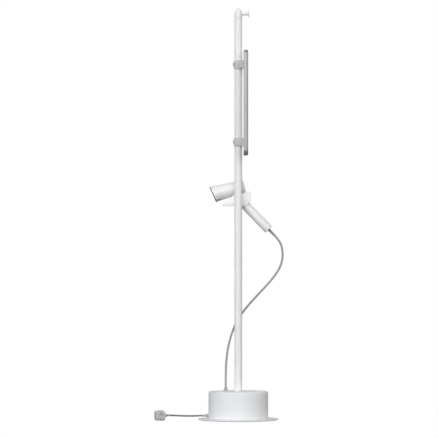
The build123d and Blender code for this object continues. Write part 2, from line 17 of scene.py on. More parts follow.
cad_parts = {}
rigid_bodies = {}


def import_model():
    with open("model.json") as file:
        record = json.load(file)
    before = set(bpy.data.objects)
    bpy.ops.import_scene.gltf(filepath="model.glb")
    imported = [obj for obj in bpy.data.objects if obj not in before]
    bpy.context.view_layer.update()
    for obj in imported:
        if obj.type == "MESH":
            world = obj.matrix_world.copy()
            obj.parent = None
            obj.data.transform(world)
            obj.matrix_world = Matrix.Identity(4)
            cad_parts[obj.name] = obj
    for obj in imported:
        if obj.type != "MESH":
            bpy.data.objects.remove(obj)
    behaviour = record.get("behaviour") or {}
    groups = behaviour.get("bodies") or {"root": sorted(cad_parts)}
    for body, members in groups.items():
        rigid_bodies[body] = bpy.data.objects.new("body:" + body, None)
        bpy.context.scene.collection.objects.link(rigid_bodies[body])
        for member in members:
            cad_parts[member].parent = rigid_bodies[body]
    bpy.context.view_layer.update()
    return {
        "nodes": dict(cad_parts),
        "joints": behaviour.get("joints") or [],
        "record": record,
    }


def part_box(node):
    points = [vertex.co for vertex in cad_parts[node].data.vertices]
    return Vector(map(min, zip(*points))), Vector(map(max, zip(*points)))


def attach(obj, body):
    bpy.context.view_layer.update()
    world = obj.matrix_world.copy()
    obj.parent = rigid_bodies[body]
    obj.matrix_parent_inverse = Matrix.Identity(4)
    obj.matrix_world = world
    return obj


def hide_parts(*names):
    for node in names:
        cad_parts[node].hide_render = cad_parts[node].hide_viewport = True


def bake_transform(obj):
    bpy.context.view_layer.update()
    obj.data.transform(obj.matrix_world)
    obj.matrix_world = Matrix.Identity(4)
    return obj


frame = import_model()

LOG = logging.getLogger("dryer_post")
MM = 0.001
# Vertices that are nearer than this become one, in metres: in a fresh piece, and in a cut one.
FRESH_WELD = 1e-6
CUT_WELD = 2e-6

# Places that two sub-assemblies share, in millimetres.
SCREW_HEIGHTS = (785.0, 799.0)
CORD_END = (-257.65, -13.93, 18.0)

Pair = tuple[float, float]
Triple = tuple[float, float, float]
Value = bpy.types.NodeSocket | float

WORLD_X = Vector((1, 0, 0))
WORLD_Y = Vector((0, 1, 0))


class Body(Enum):
    """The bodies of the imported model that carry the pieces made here."""

    STAND = "stand"
    MIRROR = "mirror_unit"
    DRYER = "dryer"
    SPEED = "speed_switch"
    COOL = "cool_switch"


class Shape(Enum):
    """What a boolean leaves of two pieces."""

    WITHOUT = "DIFFERENCE"
    BOTH = "UNION"
    COMMON = "INTERSECT"


def joint(name: str) -> dict:
    """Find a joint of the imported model.

    Args:
        name: the joint's name.

    Returns:
        The joint's entry in the record.
    """
    return next(entry for entry in frame["joints"] if entry["name"] == name)


def axes(origin: Vector, across: Vector, along: Vector) -> Matrix:
    """A place whose X is across and whose Z is along.

    Args:
        origin: the place's origin, in metres.
        across: the direction of local X.
        along: the direction of local Z.

    Returns:
        The matrix from local to world coordinates.
    """
    z = along.normalized()
    x = across.normalized()
    y = z.cross(x)
    turn = Matrix((x, y, z)).transposed().to_4x4()
    return Matrix.Translation(origin) @ turn


def arc_through(start: Pair, middle: Pair, end: Pair, count: int = 10) -> list[Pair]:
    """Points of the circular arc through three points.

    Args:
        start: where the arc starts.
        middle: a point that it passes.
        end: where it ends.
        count: how many chords it has.

    Returns:
        The points, with both ends.
    """
    (ax, ay), (bx, by), (cx, cy) = start, middle, end
    d = 2 * (ax * (by - cy) + bx * (cy - ay) + cx * (ay - by))
    a2, b2, c2 = ax * ax + ay * ay, bx * bx + by * by, cx * cx + cy * cy
    ux = (a2 * (by - cy) + b2 * (cy - ay) + c2 * (ay - by)) / d
    uy = (a2 * (cx - bx) + b2 * (ax - cx) + c2 * (bx - ax)) / d
    radius = math.hypot(ax - ux, ay - uy)
    first = math.atan2(ay - uy, ax - ux)
    sweep = math.remainder(math.atan2(cy - uy, cx - ux) - first, math.tau)
    half = math.remainder(math.atan2(by - uy, bx - ux) - first, math.tau)
    if half * sweep < 0:
        sweep -= math.copysign(math.tau, sweep)
    turns = [first + sweep * i / count for i in range(count + 1)]
    return [(ux + radius * math.cos(turn), uy + radius * math.sin(turn)) for turn in turns]


def rounded(corners: Sequence[tuple], closed: bool, chords: int = 6) -> list[Pair]:
    """Round the corners of an outline.

    Args:
        corners: (a, b) or (a, b, radius) for each corner.
        closed: whether the last corner joins the first.
        chords: how many chords a rounded corner has.

    Returns:
        The outline's points.
    """
    points: list[Pair] = []
    count = len(corners)
    for i, corner in enumerate(corners):
        here = Vector(corner[:2])
        radius = corner[2] if len(corner) > 2 else 0.0
        if radius <= 0 or (not closed and i in (0, count - 1)):
            points.append((here.x, here.y))
            continue
        before = (Vector(corners[i - 1][:2]) - here).normalized()
        after = (Vector(corners[(i + 1) % count][:2]) - here).normalized()
        half = before.angle(after) / 2
        centre = here + (before + after).normalized() * radius / math.sin(half)
        reach = radius / math.tan(half)
        nearest = centre + (here - centre).normalized() * radius
        start, end = here + before * reach, here + after * reach
        points += arc_through(start[:], nearest[:], end[:], chords)
    return points


def around(count: int, radius: float, centre: Pair = (0.0, 0.0)) -> list[Pair]:
    """Points spread evenly round a circle.

    Args:
        count: how many points there are.
        radius: the circle's radius.
        centre: the circle's centre.

    Returns:
        The points, from the one on the side of the first coordinate.
    """
    turns = [math.tau * i / count for i in range(count)]
    return [(centre[0] + radius * math.cos(turn), centre[1] + radius * math.sin(turn)) for turn in turns]


def countersink(face: float, end: float) -> list[Pair]:
    """The profile that cuts a countersunk screw hole.

    Args:
        face: the height of the face that the screw's head lies in.
        end: the height where the hole ends.

    Returns:
        The profile's corners, as radius and height.
    """
    head, shank, depth = 5.1, 2.6, 3.0
    return [(0, face - 1), (head, face - 1), (head, face), (shank, face + depth), (shank, end), (0, end)]


class Bench:
    """Blender's modelling operators, each used on one piece at a time."""

    def clear(self) -> None:
        """Deselect everything."""
        for thing in bpy.context.view_layer.objects:
            thing.select_set(False)

    def take(self, piece: bpy.types.Object) -> None:
        """Make a piece the only selected one and the active one.

        Args:
            piece: the piece.
        """
        self.clear()
        piece.select_set(True)
        bpy.context.view_layer.objects.active = piece

    def edit(self, piece: bpy.types.Object, *steps: Callable[[], object]) -> None:
        """Run operators on all of a piece in edit mode.

        Args:
            piece: the piece.
            steps: the operators, in order.
        """
        self.take(piece)
        bpy.ops.object.mode_set(mode="EDIT")
        bpy.ops.mesh.select_all(action="SELECT")
        for step in steps:
            step()
        bpy.ops.object.mode_set(mode="OBJECT")

    def select(self, piece: bpy.types.Object, wanted: Callable[[Vector], bool]) -> None:
        """Select some vertices, with the edges and faces between them.

        Args:
            piece: the piece.
            wanted: tells from a vertex's place, in metres, whether it is selected.
        """
        mesh = piece.data
        for vertex in mesh.vertices:
            vertex.select = wanted(vertex.co)
        for part in (*mesh.edges, *mesh.polygons):
            part.select = all(mesh.vertices[i].select for i in part.vertices)

    def weld(self, distance: float) -> None:
        """Merge the selected vertices that are nearer than a distance, in metres."""
        bpy.ops.mesh.remove_doubles(threshold=distance)

    def face_out(self) -> None:
        """Turn the selected faces outwards."""
        bpy.ops.mesh.normals_make_consistent(inside=False)

    def trace(self, name: str, points: Sequence[Triple], closed: bool) -> bpy.types.Object:
        """Draw a line of vertices by extruding one vertex from point to point.

        Args:
            name: the piece's name.
            points: the line's points, in millimetres.
            closed: whether the last point joins the first.

        Returns:
            The piece, which has no faces yet.
        """
        self.clear()
        bpy.ops.mesh.primitive_plane_add(size=MM, location=(0, 0, 0))
        piece = bpy.context.active_object
        piece.name = piece.data.name = name
        places = [Vector(point) * MM for point in points]
        bpy.ops.object.mode_set(mode="EDIT")
        bpy.ops.mesh.select_all(action="SELECT")
        bpy.ops.mesh.merge(type="CENTER")
        bpy.ops.transform.translate(value=places[0])
        for before, after in zip(places, places[1:]):
            bpy.ops.mesh.extrude_vertices_move(TRANSFORM_OT_translate={"value": after - before})
        bpy.ops.object.mode_set(mode="OBJECT")
        if closed:
            last = len(piece.data.vertices) - 1
            for vertex in piece.data.vertices:
                vertex.select = vertex.index in (0, last)
            bpy.ops.object.mode_set(mode="EDIT")
            bpy.ops.mesh.edge_face_add()
            bpy.ops.object.mode_set(mode="OBJECT")
        return piece

    def turned(
        self,
        name: str,
        corners: Sequence[tuple],
        place: Matrix = Matrix.Identity(4),
        steps: int = 64,
        closed: bool = True,
        chords: int = 6,
    ) -> bpy.types.Object:
        """Turn a profile about local Z.

        Args:
            name: the piece's name.
            corners: (radius, height) or (radius, height, rounding) of each corner.
            place: where local coordinates are.
            steps: how many steps the turn has.
            closed: whether the profile is a closed ring, which leaves a hole through the piece.
            chords: how many chords a rounded corner has.

        Returns:
            The piece.
        """
        profile = rounded(corners, closed, chords)
        piece = self.trace(name, [(radius, 0.0, height) for radius, height in profile], closed)
        self.edit(
            piece,
            lambda: bpy.ops.mesh.spin(
                steps=steps, angle=math.tau, center=(0, 0, 0), axis=(0, 0, 1), use_normal_flip=False
            ),
            lambda: bpy.ops.mesh.select_all(action="SELECT"),
            lambda: self.weld(FRESH_WELD),
            self.face_out,
        )
        return self.settle(piece, place)

    def extruded(
        self, name: str, points: Sequence[Pair], depth: float, place: Matrix
    ) -> bpy.types.Object:
        """Fill an outline in local XY and extrude it along local Z.

        Args:
            name: the piece's name.
            points: the outline, in millimetres.
            depth: how far it is extruded, in millimetres.
            place: where local coordinates are.

        Returns:
            The piece.
        """
        piece = self.trace(name, [(a, b, 0.0) for a, b in points], True)
        self.edit(
            piece,
            bpy.ops.mesh.edge_face_add,
            lambda: bpy.ops.mesh.extrude_region_move(
                TRANSFORM_OT_translate={"value": (0, 0, depth * MM)}
            ),
            lambda: bpy.ops.mesh.select_all(action="SELECT"),
            self.face_out,
        )
        return self.settle(piece, place)

    def brick(self, name: str, low: Triple, high: Triple, place: Matrix) -> bpy.types.Object:
        """A box, as the start of a piece or as a cutter.

        Args:
            name: the piece's name.
            low: its lowest local corner, in millimetres.
            high: its highest local corner, in millimetres.
            place: where local coordinates are.

        Returns:
            The piece.
        """
        self.clear()
        centre = [(a + b) / 2 * MM for a, b in zip(low, high)]
        bpy.ops.mesh.primitive_cube_add(size=1, location=(0, 0, 0))
        piece = bpy.context.active_object
        piece.name = piece.data.name = name
        size = [(b - a) * MM for a, b in zip(low, high)]
        self.edit(
            piece,
            lambda: bpy.ops.transform.resize(value=size),
            lambda: bpy.ops.transform.translate(value=centre),
        )
        return self.settle(piece, place)

    def rod(
        self, radius: float, low: float, high: float, place: Matrix, at: Pair = (0, 0), sides: int = 32
    ) -> bpy.types.Object:
        """A round cutter along local Z.

        Args:
            radius: its radius, in millimetres.
            low: where it starts on local Z.
            high: where it ends.
            place: where local coordinates are.
            at: the local X and Y of its axis.
            sides: how many sides it has.

        Returns:
            The cutter.
        """
        self.clear()
        bpy.ops.mesh.primitive_cylinder_add(
            vertices=sides,
            radius=radius * MM,
            depth=(high - low) * MM,
            location=(at[0] * MM, at[1] * MM, (low + high) / 2 * MM),
        )
        piece = bpy.context.active_object
        self.take(piece)
        bpy.ops.object.transform_apply(location=True, rotation=True, scale=True)
        return self.settle(piece, place)

    def settle(self, piece: bpy.types.Object, place: Matrix) -> bpy.types.Object:
        """Move a piece to its place and leave its object at the origin.

        Args:
            piece: the piece, in local coordinates.
            place: where local coordinates are.

        Returns:
            The piece.
        """
        piece.matrix_world = place
        self.take(piece)
        bpy.ops.object.transform_apply(location=True, rotation=True, scale=True)
        return piece

    def copied(self, piece: bpy.types.Object, name: str, shift: Matrix) -> bpy.types.Object:
        """Copy a piece, with its own mesh, to another place.

        Args:
            piece: the finished model.
            name: the copy's name.
            shift: the move from the model to the copy.

        Returns:
            The copy.
        """
        twin = piece.copy()
        twin.data = piece.data.copy()
        twin.name = twin.data.name = name
        bpy.context.scene.collection.objects.link(twin)
        return self.settle(twin, shift)

    def joined(self, name: str, pieces: Sequence[bpy.types.Object]) -> bpy.types.Object:
        """Join pieces that stay separate shells.

        Args:
            name: the name of the whole.
            pieces: the pieces, which are used up.

        Returns:
            The whole.
        """
        self.take(pieces[0])
        for piece in pieces:
            piece.select_set(True)
        bpy.ops.object.join()
        result = bpy.context.active_object
        result.name = result.data.name = name
        return result

    def boolean(
        self, piece: bpy.types.Object, other: bpy.types.Object, operation: Shape
    ) -> bpy.types.Object:
        """Apply a boolean with another piece, which is used up.

        Args:
            piece: the piece that changes.
            other: the cutter or the added shape.
            operation: what is left of the two.

        Returns:
            The piece.
        """
        self.take(piece)
        modifier = piece.modifiers.new("shape", "BOOLEAN")
        modifier.operation = operation.value
        modifier.solver = "EXACT"
        modifier.object = other
        bpy.ops.object.modifier_apply(modifier=modifier.name)
        bpy.data.objects.remove(other)
        return piece

    def cut(self, piece: bpy.types.Object, *cutters: bpy.types.Object) -> bpy.types.Object:
        """Take cutters away from a piece.

        Args:
            piece: the piece that changes.
            cutters: the cutters, which are used up.

        Returns:
            The piece.
        """
        for cutter in cutters:
            self.boolean(piece, cutter, Shape.WITHOUT)
        return piece

    def bevel(
        self, piece: bpy.types.Object, width: float, segments: int = 3, angle: float = 40.0
    ) -> bpy.types.Object:
        """Round the edges that are sharper than an angle.

        Args:
            piece: the piece.
            width: the rounding, in millimetres.
            segments: how many segments it has.
            angle: the least angle that is rounded, in degrees.

        Returns:
            The piece.
        """
        self.edit(piece, lambda: self.weld(CUT_WELD))
        modifier = piece.modifiers.new("edges", "BEVEL")
        modifier.width = width * MM
        modifier.segments = segments
        modifier.limit_method = "ANGLE"
        modifier.angle_limit = math.radians(angle)
        modifier.miter_outer = "MITER_ARC"
        self.take(piece)
        bpy.ops.object.modifier_apply(modifier=modifier.name)
        return piece

    def paint(
        self, piece: bpy.types.Object, index: int, wanted: Callable[[bpy.types.MeshPolygon], bool]
    ) -> None:
        """Give some faces another of the piece's materials.

        Args:
            piece: the piece.
            index: the material's place in the piece's list.
            wanted: tells whether a face gets it.
        """
        for face in piece.data.polygons:
            if wanted(face):
                face.material_index = index

    def smooth(self, piece: bpy.types.Object, angle: float = 35.0) -> bpy.types.Object:
        """Merge doubles, turn the faces outwards and shade smooth.

        Args:
            piece: the piece.
            angle: the least angle of an edge that stays sharp, in degrees.

        Returns:
            The piece.
        """
        self.edit(piece, lambda: self.weld(CUT_WELD), self.face_out)
        bpy.ops.object.shade_smooth_by_angle(angle=math.radians(angle))
        return piece


BENCH = Bench()


class Effects:
    """Shader node groups that several finishes use."""

    BROAD_SCALE = 14.0
    PATCH_SCALE = 60.0
    TOUCH_SCALE = 22.0

    def __init__(self) -> None:
        """Build each group once."""
        self.grain = self._grain()
        self.dust = self._dust()
        self.drawn = self._drawn()
        self.handling = self._handling()

    def _group(
        self, name: str, inputs: dict[str, str], outputs: dict[str, str]
    ) -> tuple[bpy.types.NodeTree, bpy.types.Node, bpy.types.Node]:
        """Start a group.

        Args:
            name: the group's name.
            inputs: socket names and kinds.
            outputs: socket names and kinds.

        Returns:
            The tree, its input node and its output node.
        """
        tree = bpy.data.node_groups.new(name, "ShaderNodeTree")
        for label, kind in inputs.items():
            tree.interface.new_socket(label, in_out="INPUT", socket_type="NodeSocket" + kind)
        for label, kind in outputs.items():
            tree.interface.new_socket(label, in_out="OUTPUT", socket_type="NodeSocket" + kind)
        return tree, tree.nodes.new("NodeGroupInput"), tree.nodes.new("NodeGroupOutput")

    def _math(
        self, tree: bpy.types.NodeTree, operation: str, first: Value, second: Value
    ) -> bpy.types.NodeSocket:
        """A math node.

        Args:
            tree: the group.
            operation: what it works out.
            first: its first value, a socket or a number.
            second: its second value.

        Returns:
            Its output.
        """
        node = tree.nodes.new("ShaderNodeMath")
        node.operation = operation
        for slot, value in zip(node.inputs, (first, second)):
            if isinstance(value, bpy.types.NodeSocket):
                tree.links.new(value, slot)
            else:
                slot.default_value = value
        return node.outputs[0]

    def _noise(
        self, tree: bpy.types.NodeTree, vector: bpy.types.NodeSocket, scale: Value, detail: float
    ) -> bpy.types.NodeSocket:
        """A noise texture.

        Args:
            tree: the group.
            vector: where it is looked up.
            scale: its scale, a socket or a number.
            detail: how many finer layers it has.

        Returns:
            Its value.
        """
        node = tree.nodes.new("ShaderNodeTexNoise")
        node.inputs["Detail"].default_value = detail
        tree.links.new(vector, node.inputs["Vector"])
        if isinstance(scale, bpy.types.NodeSocket):
            tree.links.new(scale, node.inputs["Scale"])
        else:
            node.inputs["Scale"].default_value = scale
        return node.outputs["Fac"]

    def _varied(
        self, tree: bpy.types.NodeTree, noise: bpy.types.NodeSocket, mean: float, amount: Value, base: Value
    ) -> bpy.types.NodeSocket:
        """A value that noise moves up and down.

        Args:
            tree: the group.
            noise: the noise.
            mean: the noise's own mean.
            amount: how far the noise moves the value.
            base: the value where the noise is at its mean.

        Returns:
            The value.
        """
        centred = self._math(tree, "SUBTRACT", noise, mean)
        change = self._math(tree, "MULTIPLY", centred, amount)
        return self._math(tree, "ADD", change, base)

    def _grain(self) -> bpy.types.NodeTree:
        """Fine moulded or sprayed texture: a height, and a soft change of tone.

        Returns:
            The group.
        """
        tree, given, out = self._group(
            "surface_grain",
            {"Vector": "Vector", "Scale": "Float", "Tone": "Float"},
            {"Height": "Float", "Shade": "Float"},
        )
        fine = self._noise(tree, given.outputs["Vector"], given.outputs["Scale"], 2.0)
        broad = self._noise(tree, given.outputs["Vector"], self.BROAD_SCALE, 2.0)
        tree.links.new(fine, out.inputs["Height"])
        both = self._math(tree, "ADD", fine, broad)
        tree.links.new(self._varied(tree, both, 1.0, given.outputs["Tone"], 1.0), out.inputs["Shade"])
        return tree

    def _dust(self) -> bpy.types.NodeTree:
        """Dust that settles on faces that look up.

        Returns:
            The group.
        """
        tree, given, out = self._group(
            "settled_dust",
            {"Vector": "Vector", "Color": "Color", "Dust": "Color", "Amount": "Float"},
            {"Color": "Color", "Mask": "Float"},
        )
        geometry = tree.nodes.new("ShaderNodeNewGeometry")
        split = tree.nodes.new("ShaderNodeSeparateXYZ")
        tree.links.new(geometry.outputs["Normal"], split.inputs[0])
        up = self._math(tree, "MAXIMUM", split.outputs["Z"], 0.0)
        patch = self._noise(tree, given.outputs["Vector"], self.PATCH_SCALE, 4.0)
        settled = self._math(tree, "MULTIPLY", up, patch)
        mask = self._math(tree, "MULTIPLY", settled, given.outputs["Amount"])
        mix = tree.nodes.new("ShaderNodeMix")
        mix.data_type = "RGBA"
        tree.links.new(mask, mix.inputs["Factor"])
        tree.links.new(given.outputs["Color"], mix.inputs["A"])
        tree.links.new(given.outputs["Dust"], mix.inputs["B"])
        tree.links.new(mix.outputs["Result"], out.inputs["Color"])
        tree.links.new(mask, out.inputs["Mask"])
        return tree

    def _drawn(self) -> bpy.types.NodeTree:
        """Grain of brushed or drawn metal: fine lines along one direction.

        Returns:
            The group.
        """
        tree, given, out = self._group(
            "drawn_grain",
            {"Vector": "Vector", "Stretch": "Vector", "Tone": "Float"},
            {"Height": "Float", "Shade": "Float"},
        )
        scaled = tree.nodes.new("ShaderNodeVectorMath")
        scaled.operation = "MULTIPLY"
        tree.links.new(given.outputs["Vector"], scaled.inputs[0])
        tree.links.new(given.outputs["Stretch"], scaled.inputs[1])
        lines = self._noise(tree, scaled.outputs["Vector"], 1.0, 4.0)
        tree.links.new(lines, out.inputs["Height"])
        tree.links.new(self._varied(tree, lines, 0.5, given.outputs["Tone"], 1.0), out.inputs["Shade"])
        return tree

    def _handling(self) -> bpy.types.NodeTree:
        """Gloss that changes softly where hands and cloths have been.

        Returns:
            The group.
        """
        tree, given, out = self._group(
            "handled_gloss",
            {"Vector": "Vector", "Roughness": "Float", "Change": "Float"},
            {"Roughness": "Float"},
        )
        soft = self._noise(tree, given.outputs["Vector"], self.TOUCH_SCALE, 5.0)
        gloss = self._varied(tree, soft, 0.5, given.outputs["Change"], given.outputs["Roughness"])
        tree.links.new(gloss, out.inputs["Roughness"])
        return tree


COAT_ROUGHNESS = 0.15
BUMP_STRENGTH = 0.5
DUST_COLOUR = (0.62, 0.60, 0.56)
DRAWN = (2400.0, 2400.0, 30.0)


@dataclass(frozen=True)
class Finish:
    """One finish: a colour and gloss with its own fine texture.

    stretch, where it is given, replaces the even grain with lines: it scales X, Y and Z.
    slot is the record's material slot, where that has another name than the finish.
    """

    name: str
    colour: Triple
    roughness: float
    metallic: float = 0.0
    coat: float = 0.0
    grain: float = 900.0
    depth: float = 0.02
    tone: float = 0.03
    dust: float = 0.0
    change: float = 0.08
    stretch: Triple | None = None
    specular: float = 0.5
    slot: str = ""

    def material(self, effects: Effects) -> bpy.types.Material:
        """Build the finish as a material.

        Args:
            effects: the shared shader groups.

        Returns:
            The material.
        """
        made = bpy.data.materials.new(self.name)
        made.use_nodes = True
        tree = made.node_tree
        shader = tree.nodes["Principled BSDF"]
        shader.inputs["Metallic"].default_value = self.metallic
        shader.inputs["Specular IOR Level"].default_value = self.specular
        shader.inputs["Coat Weight"].default_value = self.coat
        shader.inputs["Coat Roughness"].default_value = COAT_ROUGHNESS
        where = tree.nodes.new("ShaderNodeTexCoord").outputs["Object"]

        texture = tree.nodes.new("ShaderNodeGroup")
        texture.node_tree = effects.drawn if self.stretch else effects.grain
        tree.links.new(where, texture.inputs["Vector"])
        texture.inputs["Tone"].default_value = self.tone
        if self.stretch:
            texture.inputs["Stretch"].default_value = self.stretch
        else:
            texture.inputs["Scale"].default_value = self.grain

        shade = tree.nodes.new("ShaderNodeMix")
        shade.data_type = "RGBA"
        shade.blend_type = "MULTIPLY"
        shade.inputs["Factor"].default_value = 1.0
        shade.inputs["A"].default_value = (*self.colour, 1.0)
        tree.links.new(texture.outputs["Shade"], shade.inputs["B"])
        dust = tree.nodes.new("ShaderNodeGroup")
        dust.node_tree = effects.dust
        tree.links.new(where, dust.inputs["Vector"])
        tree.links.new(shade.outputs["Result"], dust.inputs["Color"])
        dust.inputs["Dust"].default_value = (*DUST_COLOUR, 1.0)
        dust.inputs["Amount"].default_value = self.dust
        tree.links.new(dust.outputs["Color"], shader.inputs["Base Color"])

        shader.inputs["Roughness"].default_value = self.roughness
        if self.change > 0:
            gloss = tree.nodes.new("ShaderNodeGroup")
            gloss.node_tree = effects.handling
            tree.links.new(where, gloss.inputs["Vector"])
            gloss.inputs["Roughness"].default_value = self.roughness
            gloss.inputs["Change"].default_value = self.change
            tree.links.new(gloss.outputs["Roughness"], shader.inputs["Roughness"])

        if self.depth > 0:
            bump = tree.nodes.new("ShaderNodeBump")
            bump.inputs["Strength"].default_value = BUMP_STRENGTH
            bump.inputs["Distance"].default_value = self.depth * MM
            tree.links.new(texture.outputs["Height"], bump.inputs["Height"])
            tree.links.new(bump.outputs["Normal"], shader.inputs["Normal"])
        return made


FINISHES: dict[str, Finish] = {finish.name: finish for finish in (
    Finish("white_powder_coat", (0.775, 0.785, 0.80), 0.5, grain=1100, depth=0.03, dust=0.04,
            specular=0.25),
    Finish("white_plastic", (0.80, 0.80, 0.805), 0.36, coat=0.05, grain=2600, depth=0.01),
    Finish("grey_clip_plastic", (0.53, 0.53, 0.535), 0.5, grain=2200, depth=0.015),
    Finish("mirror_metal", (0.40, 0.40, 0.405), 0.5, metallic=0.55, depth=0.01, tone=0.08, stretch=DRAWN),
    Finish("mirror_glass", (0.80, 0.825, 0.825), 0.0, metallic=1.0, grain=40, depth=0.0, tone=0.01,
            change=0.0),
    Finish("core_board", (0.45, 0.33, 0.22), 0.85, grain=700, depth=0.1, tone=0.2),
    Finish("cord_grey", (0.33, 0.33, 0.335), 0.45, grain=1800, depth=0.02, tone=0.06),
    Finish("gland_grey", (0.38, 0.385, 0.39), 0.42, grain=1800, depth=0.02),
    Finish("plug_grey", (0.44, 0.44, 0.445), 0.42, grain=1500, depth=0.03, dust=0.1),
    Finish("steel", (0.62, 0.62, 0.63), 0.28, metallic=1.0, depth=0.01, tone=0.1,
            stretch=(900.0, 900.0, 200.0)),
    Finish("ballast_iron", (0.10, 0.10, 0.105), 0.75, grain=500, depth=0.3, tone=0.25),
    Finish("foot_rubber", (0.22, 0.22, 0.225), 0.85, grain=1300, depth=0.06, tone=0.1),
    Finish("outlet_rubber", (0.045, 0.045, 0.05), 0.55, grain=1600, depth=0.03),
    Finish("black_plastic", (0.035, 0.035, 0.04), 0.45, grain=1500, depth=0.02),
    Finish("mica", (0.50, 0.42, 0.31), 0.6, grain=600, depth=0.05, tone=0.25),
    Finish("heater_wire", (0.35, 0.31, 0.29), 0.4, metallic=1.0, grain=1500, tone=0.2),
    Finish("liner_plastic", (0.70, 0.70, 0.69), 0.35, grain=1800, depth=0.01),
    Finish("board_green", (0.03, 0.16, 0.08), 0.4, grain=900, depth=0.02, tone=0.2),
    Finish("filter_mesh", (0.28, 0.28, 0.29), 0.45, metallic=1.0, depth=0.1, tone=0.5,
            stretch=(1500.0, 1500.0, 1500.0)),
    # A darker copy of mirror_metal for the front frame: painted shade on the side turned away from the key
    # light
    Finish("mirror_front_metal_painted_shade", (0.33, 0.33, 0.335), 0.5, metallic=0.55, depth=0.01, tone=0.08,
            stretch=DRAWN, slot="mirror_metal"),
    Finish("mirror_back_coat", (0.74, 0.74, 0.745), 0.55, grain=1100, depth=0.03, slot="mirror_metal"),
    Finish("mains_sheath", (0.17, 0.17, 0.175), 0.45, grain=1800, depth=0.02, tone=0.06, slot="cord_grey"),
    # A paler copy of white_plastic for the cradle: painted light that lifts the shade the post casts on it
    Finish("cradle_white_painted_light", (0.88, 0.88, 0.885), 0.36, coat=0.05, grain=2600, depth=0.01,
            slot="white_plastic"),
    Finish("relief_grey", (0.34, 0.34, 0.345), 0.5, grain=1800, depth=0.02, tone=0.06, slot="cord_grey"),
)}


@dataclass
class Catalogue:
    """Where every piece gets its material, its body and the nodes that it stands for."""

    effects: Effects
    made: dict[str, bpy.types.Material] = field(default_factory=dict)

    def finish(self, name: str) -> bpy.types.Material:
        """The material of a finish, built once.

        Args:
            name: the finish's name.

        Returns:
            The material.
        """
        if name not in self.made:
            self.made[name] = FINISHES[name].material(self.effects)
        return self.made[name]

    def dress(self, piece: bpy.types.Object, finish: str) -> None:
        """Give a piece one finish all over.

        Args:
            piece: the piece.
            finish: the name of its finish.
        """
        piece.data.materials.clear()
        piece.data.materials.append(self.finish(finish))
        FINISHES[finish].slot or finish

    def add(self, piece: bpy.types.Object, body: Body, finish: str, node: str) -> bpy.types.Object:
        """Dress a piece, put it on its body and hide the node that it stands for.

        Args:
            piece: the finished piece.
            body: the body that it moves with.
            finish: the name of its finish.
            node: the CAD node that it replaces.

        Returns:
            The piece.
        """
        self.dress(piece, finish)
        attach(piece, body.value)
        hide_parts(node)
        LOG.info("%s: %s, %d faces, for %s", piece.name, finish, len(piece.data.polygons), node)
        return piece

    def dress_nodes(self) -> None:
        """Give every CAD node the material of its slot in the record."""
        for part in frame["record"]["subparts"]:
            node = frame["nodes"][part["node"]]
            node.data.materials.clear()
            node.data.materials.append(self.finish(part["material_slot"]))


@dataclass
class SubAssembly:
    """A group of pieces that belong together and go into the catalogue."""

    catalogue: Catalogue

    def add(
        self, piece: bpy.types.Object, body: Body, finish: str, node: str, angle: float = 35.0
    ) -> bpy.types.Object:
        """Smooth a finished piece and put it into the catalogue.

        Args:
            piece: the piece.
            body: the body that it moves with.
            finish: the name of its finish.
            node: the CAD node that it replaces.
            angle: the least angle of an edge that stays sharp, in degrees.

        Returns:
            The piece.
        """
        BENCH.smooth(piece, angle)
        return self.catalogue.add(piece, body, finish, node)


def middle(node: str) -> Vector:
    """The middle of a CAD node's box, in millimetres."""
    low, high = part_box(node)
    return (low + high) / 2 / MM


def span(node: str, axis: int) -> Pair:
    """A CAD node's lowest and highest coordinate on one axis, in millimetres."""
    low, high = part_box(node)
    return low[axis] / MM, high[axis] / MM


def upright(x: float = 0.0, y: float = 0.0, z: float = 0.0) -> Matrix:
    """A place that is only moved, in millimetres."""
    return Matrix.Translation(Vector((x, y, z)) * MM)


def sideways(x: float, y: float, z: float) -> Matrix:
    """A place in millimetres whose Z runs along the outer X and whose X runs along the outer Y."""
    return axes(Vector((x, y, z)) * MM, WORLD_Y, WORLD_X)


def inwards(x: float, y: float, z: float) -> Matrix:
    """A place in millimetres whose Z runs along the outer -Y and whose Y points up."""
    return axes(Vector((x, y, z)) * MM, WORLD_X, -WORLD_Y)


def outwards(x: float, y: float, z: float) -> Matrix:
    """A place in millimetres whose Z runs along the outer Y and whose Y points down."""
    return axes(Vector((x, y, z)) * MM, WORLD_X, WORLD_Y)


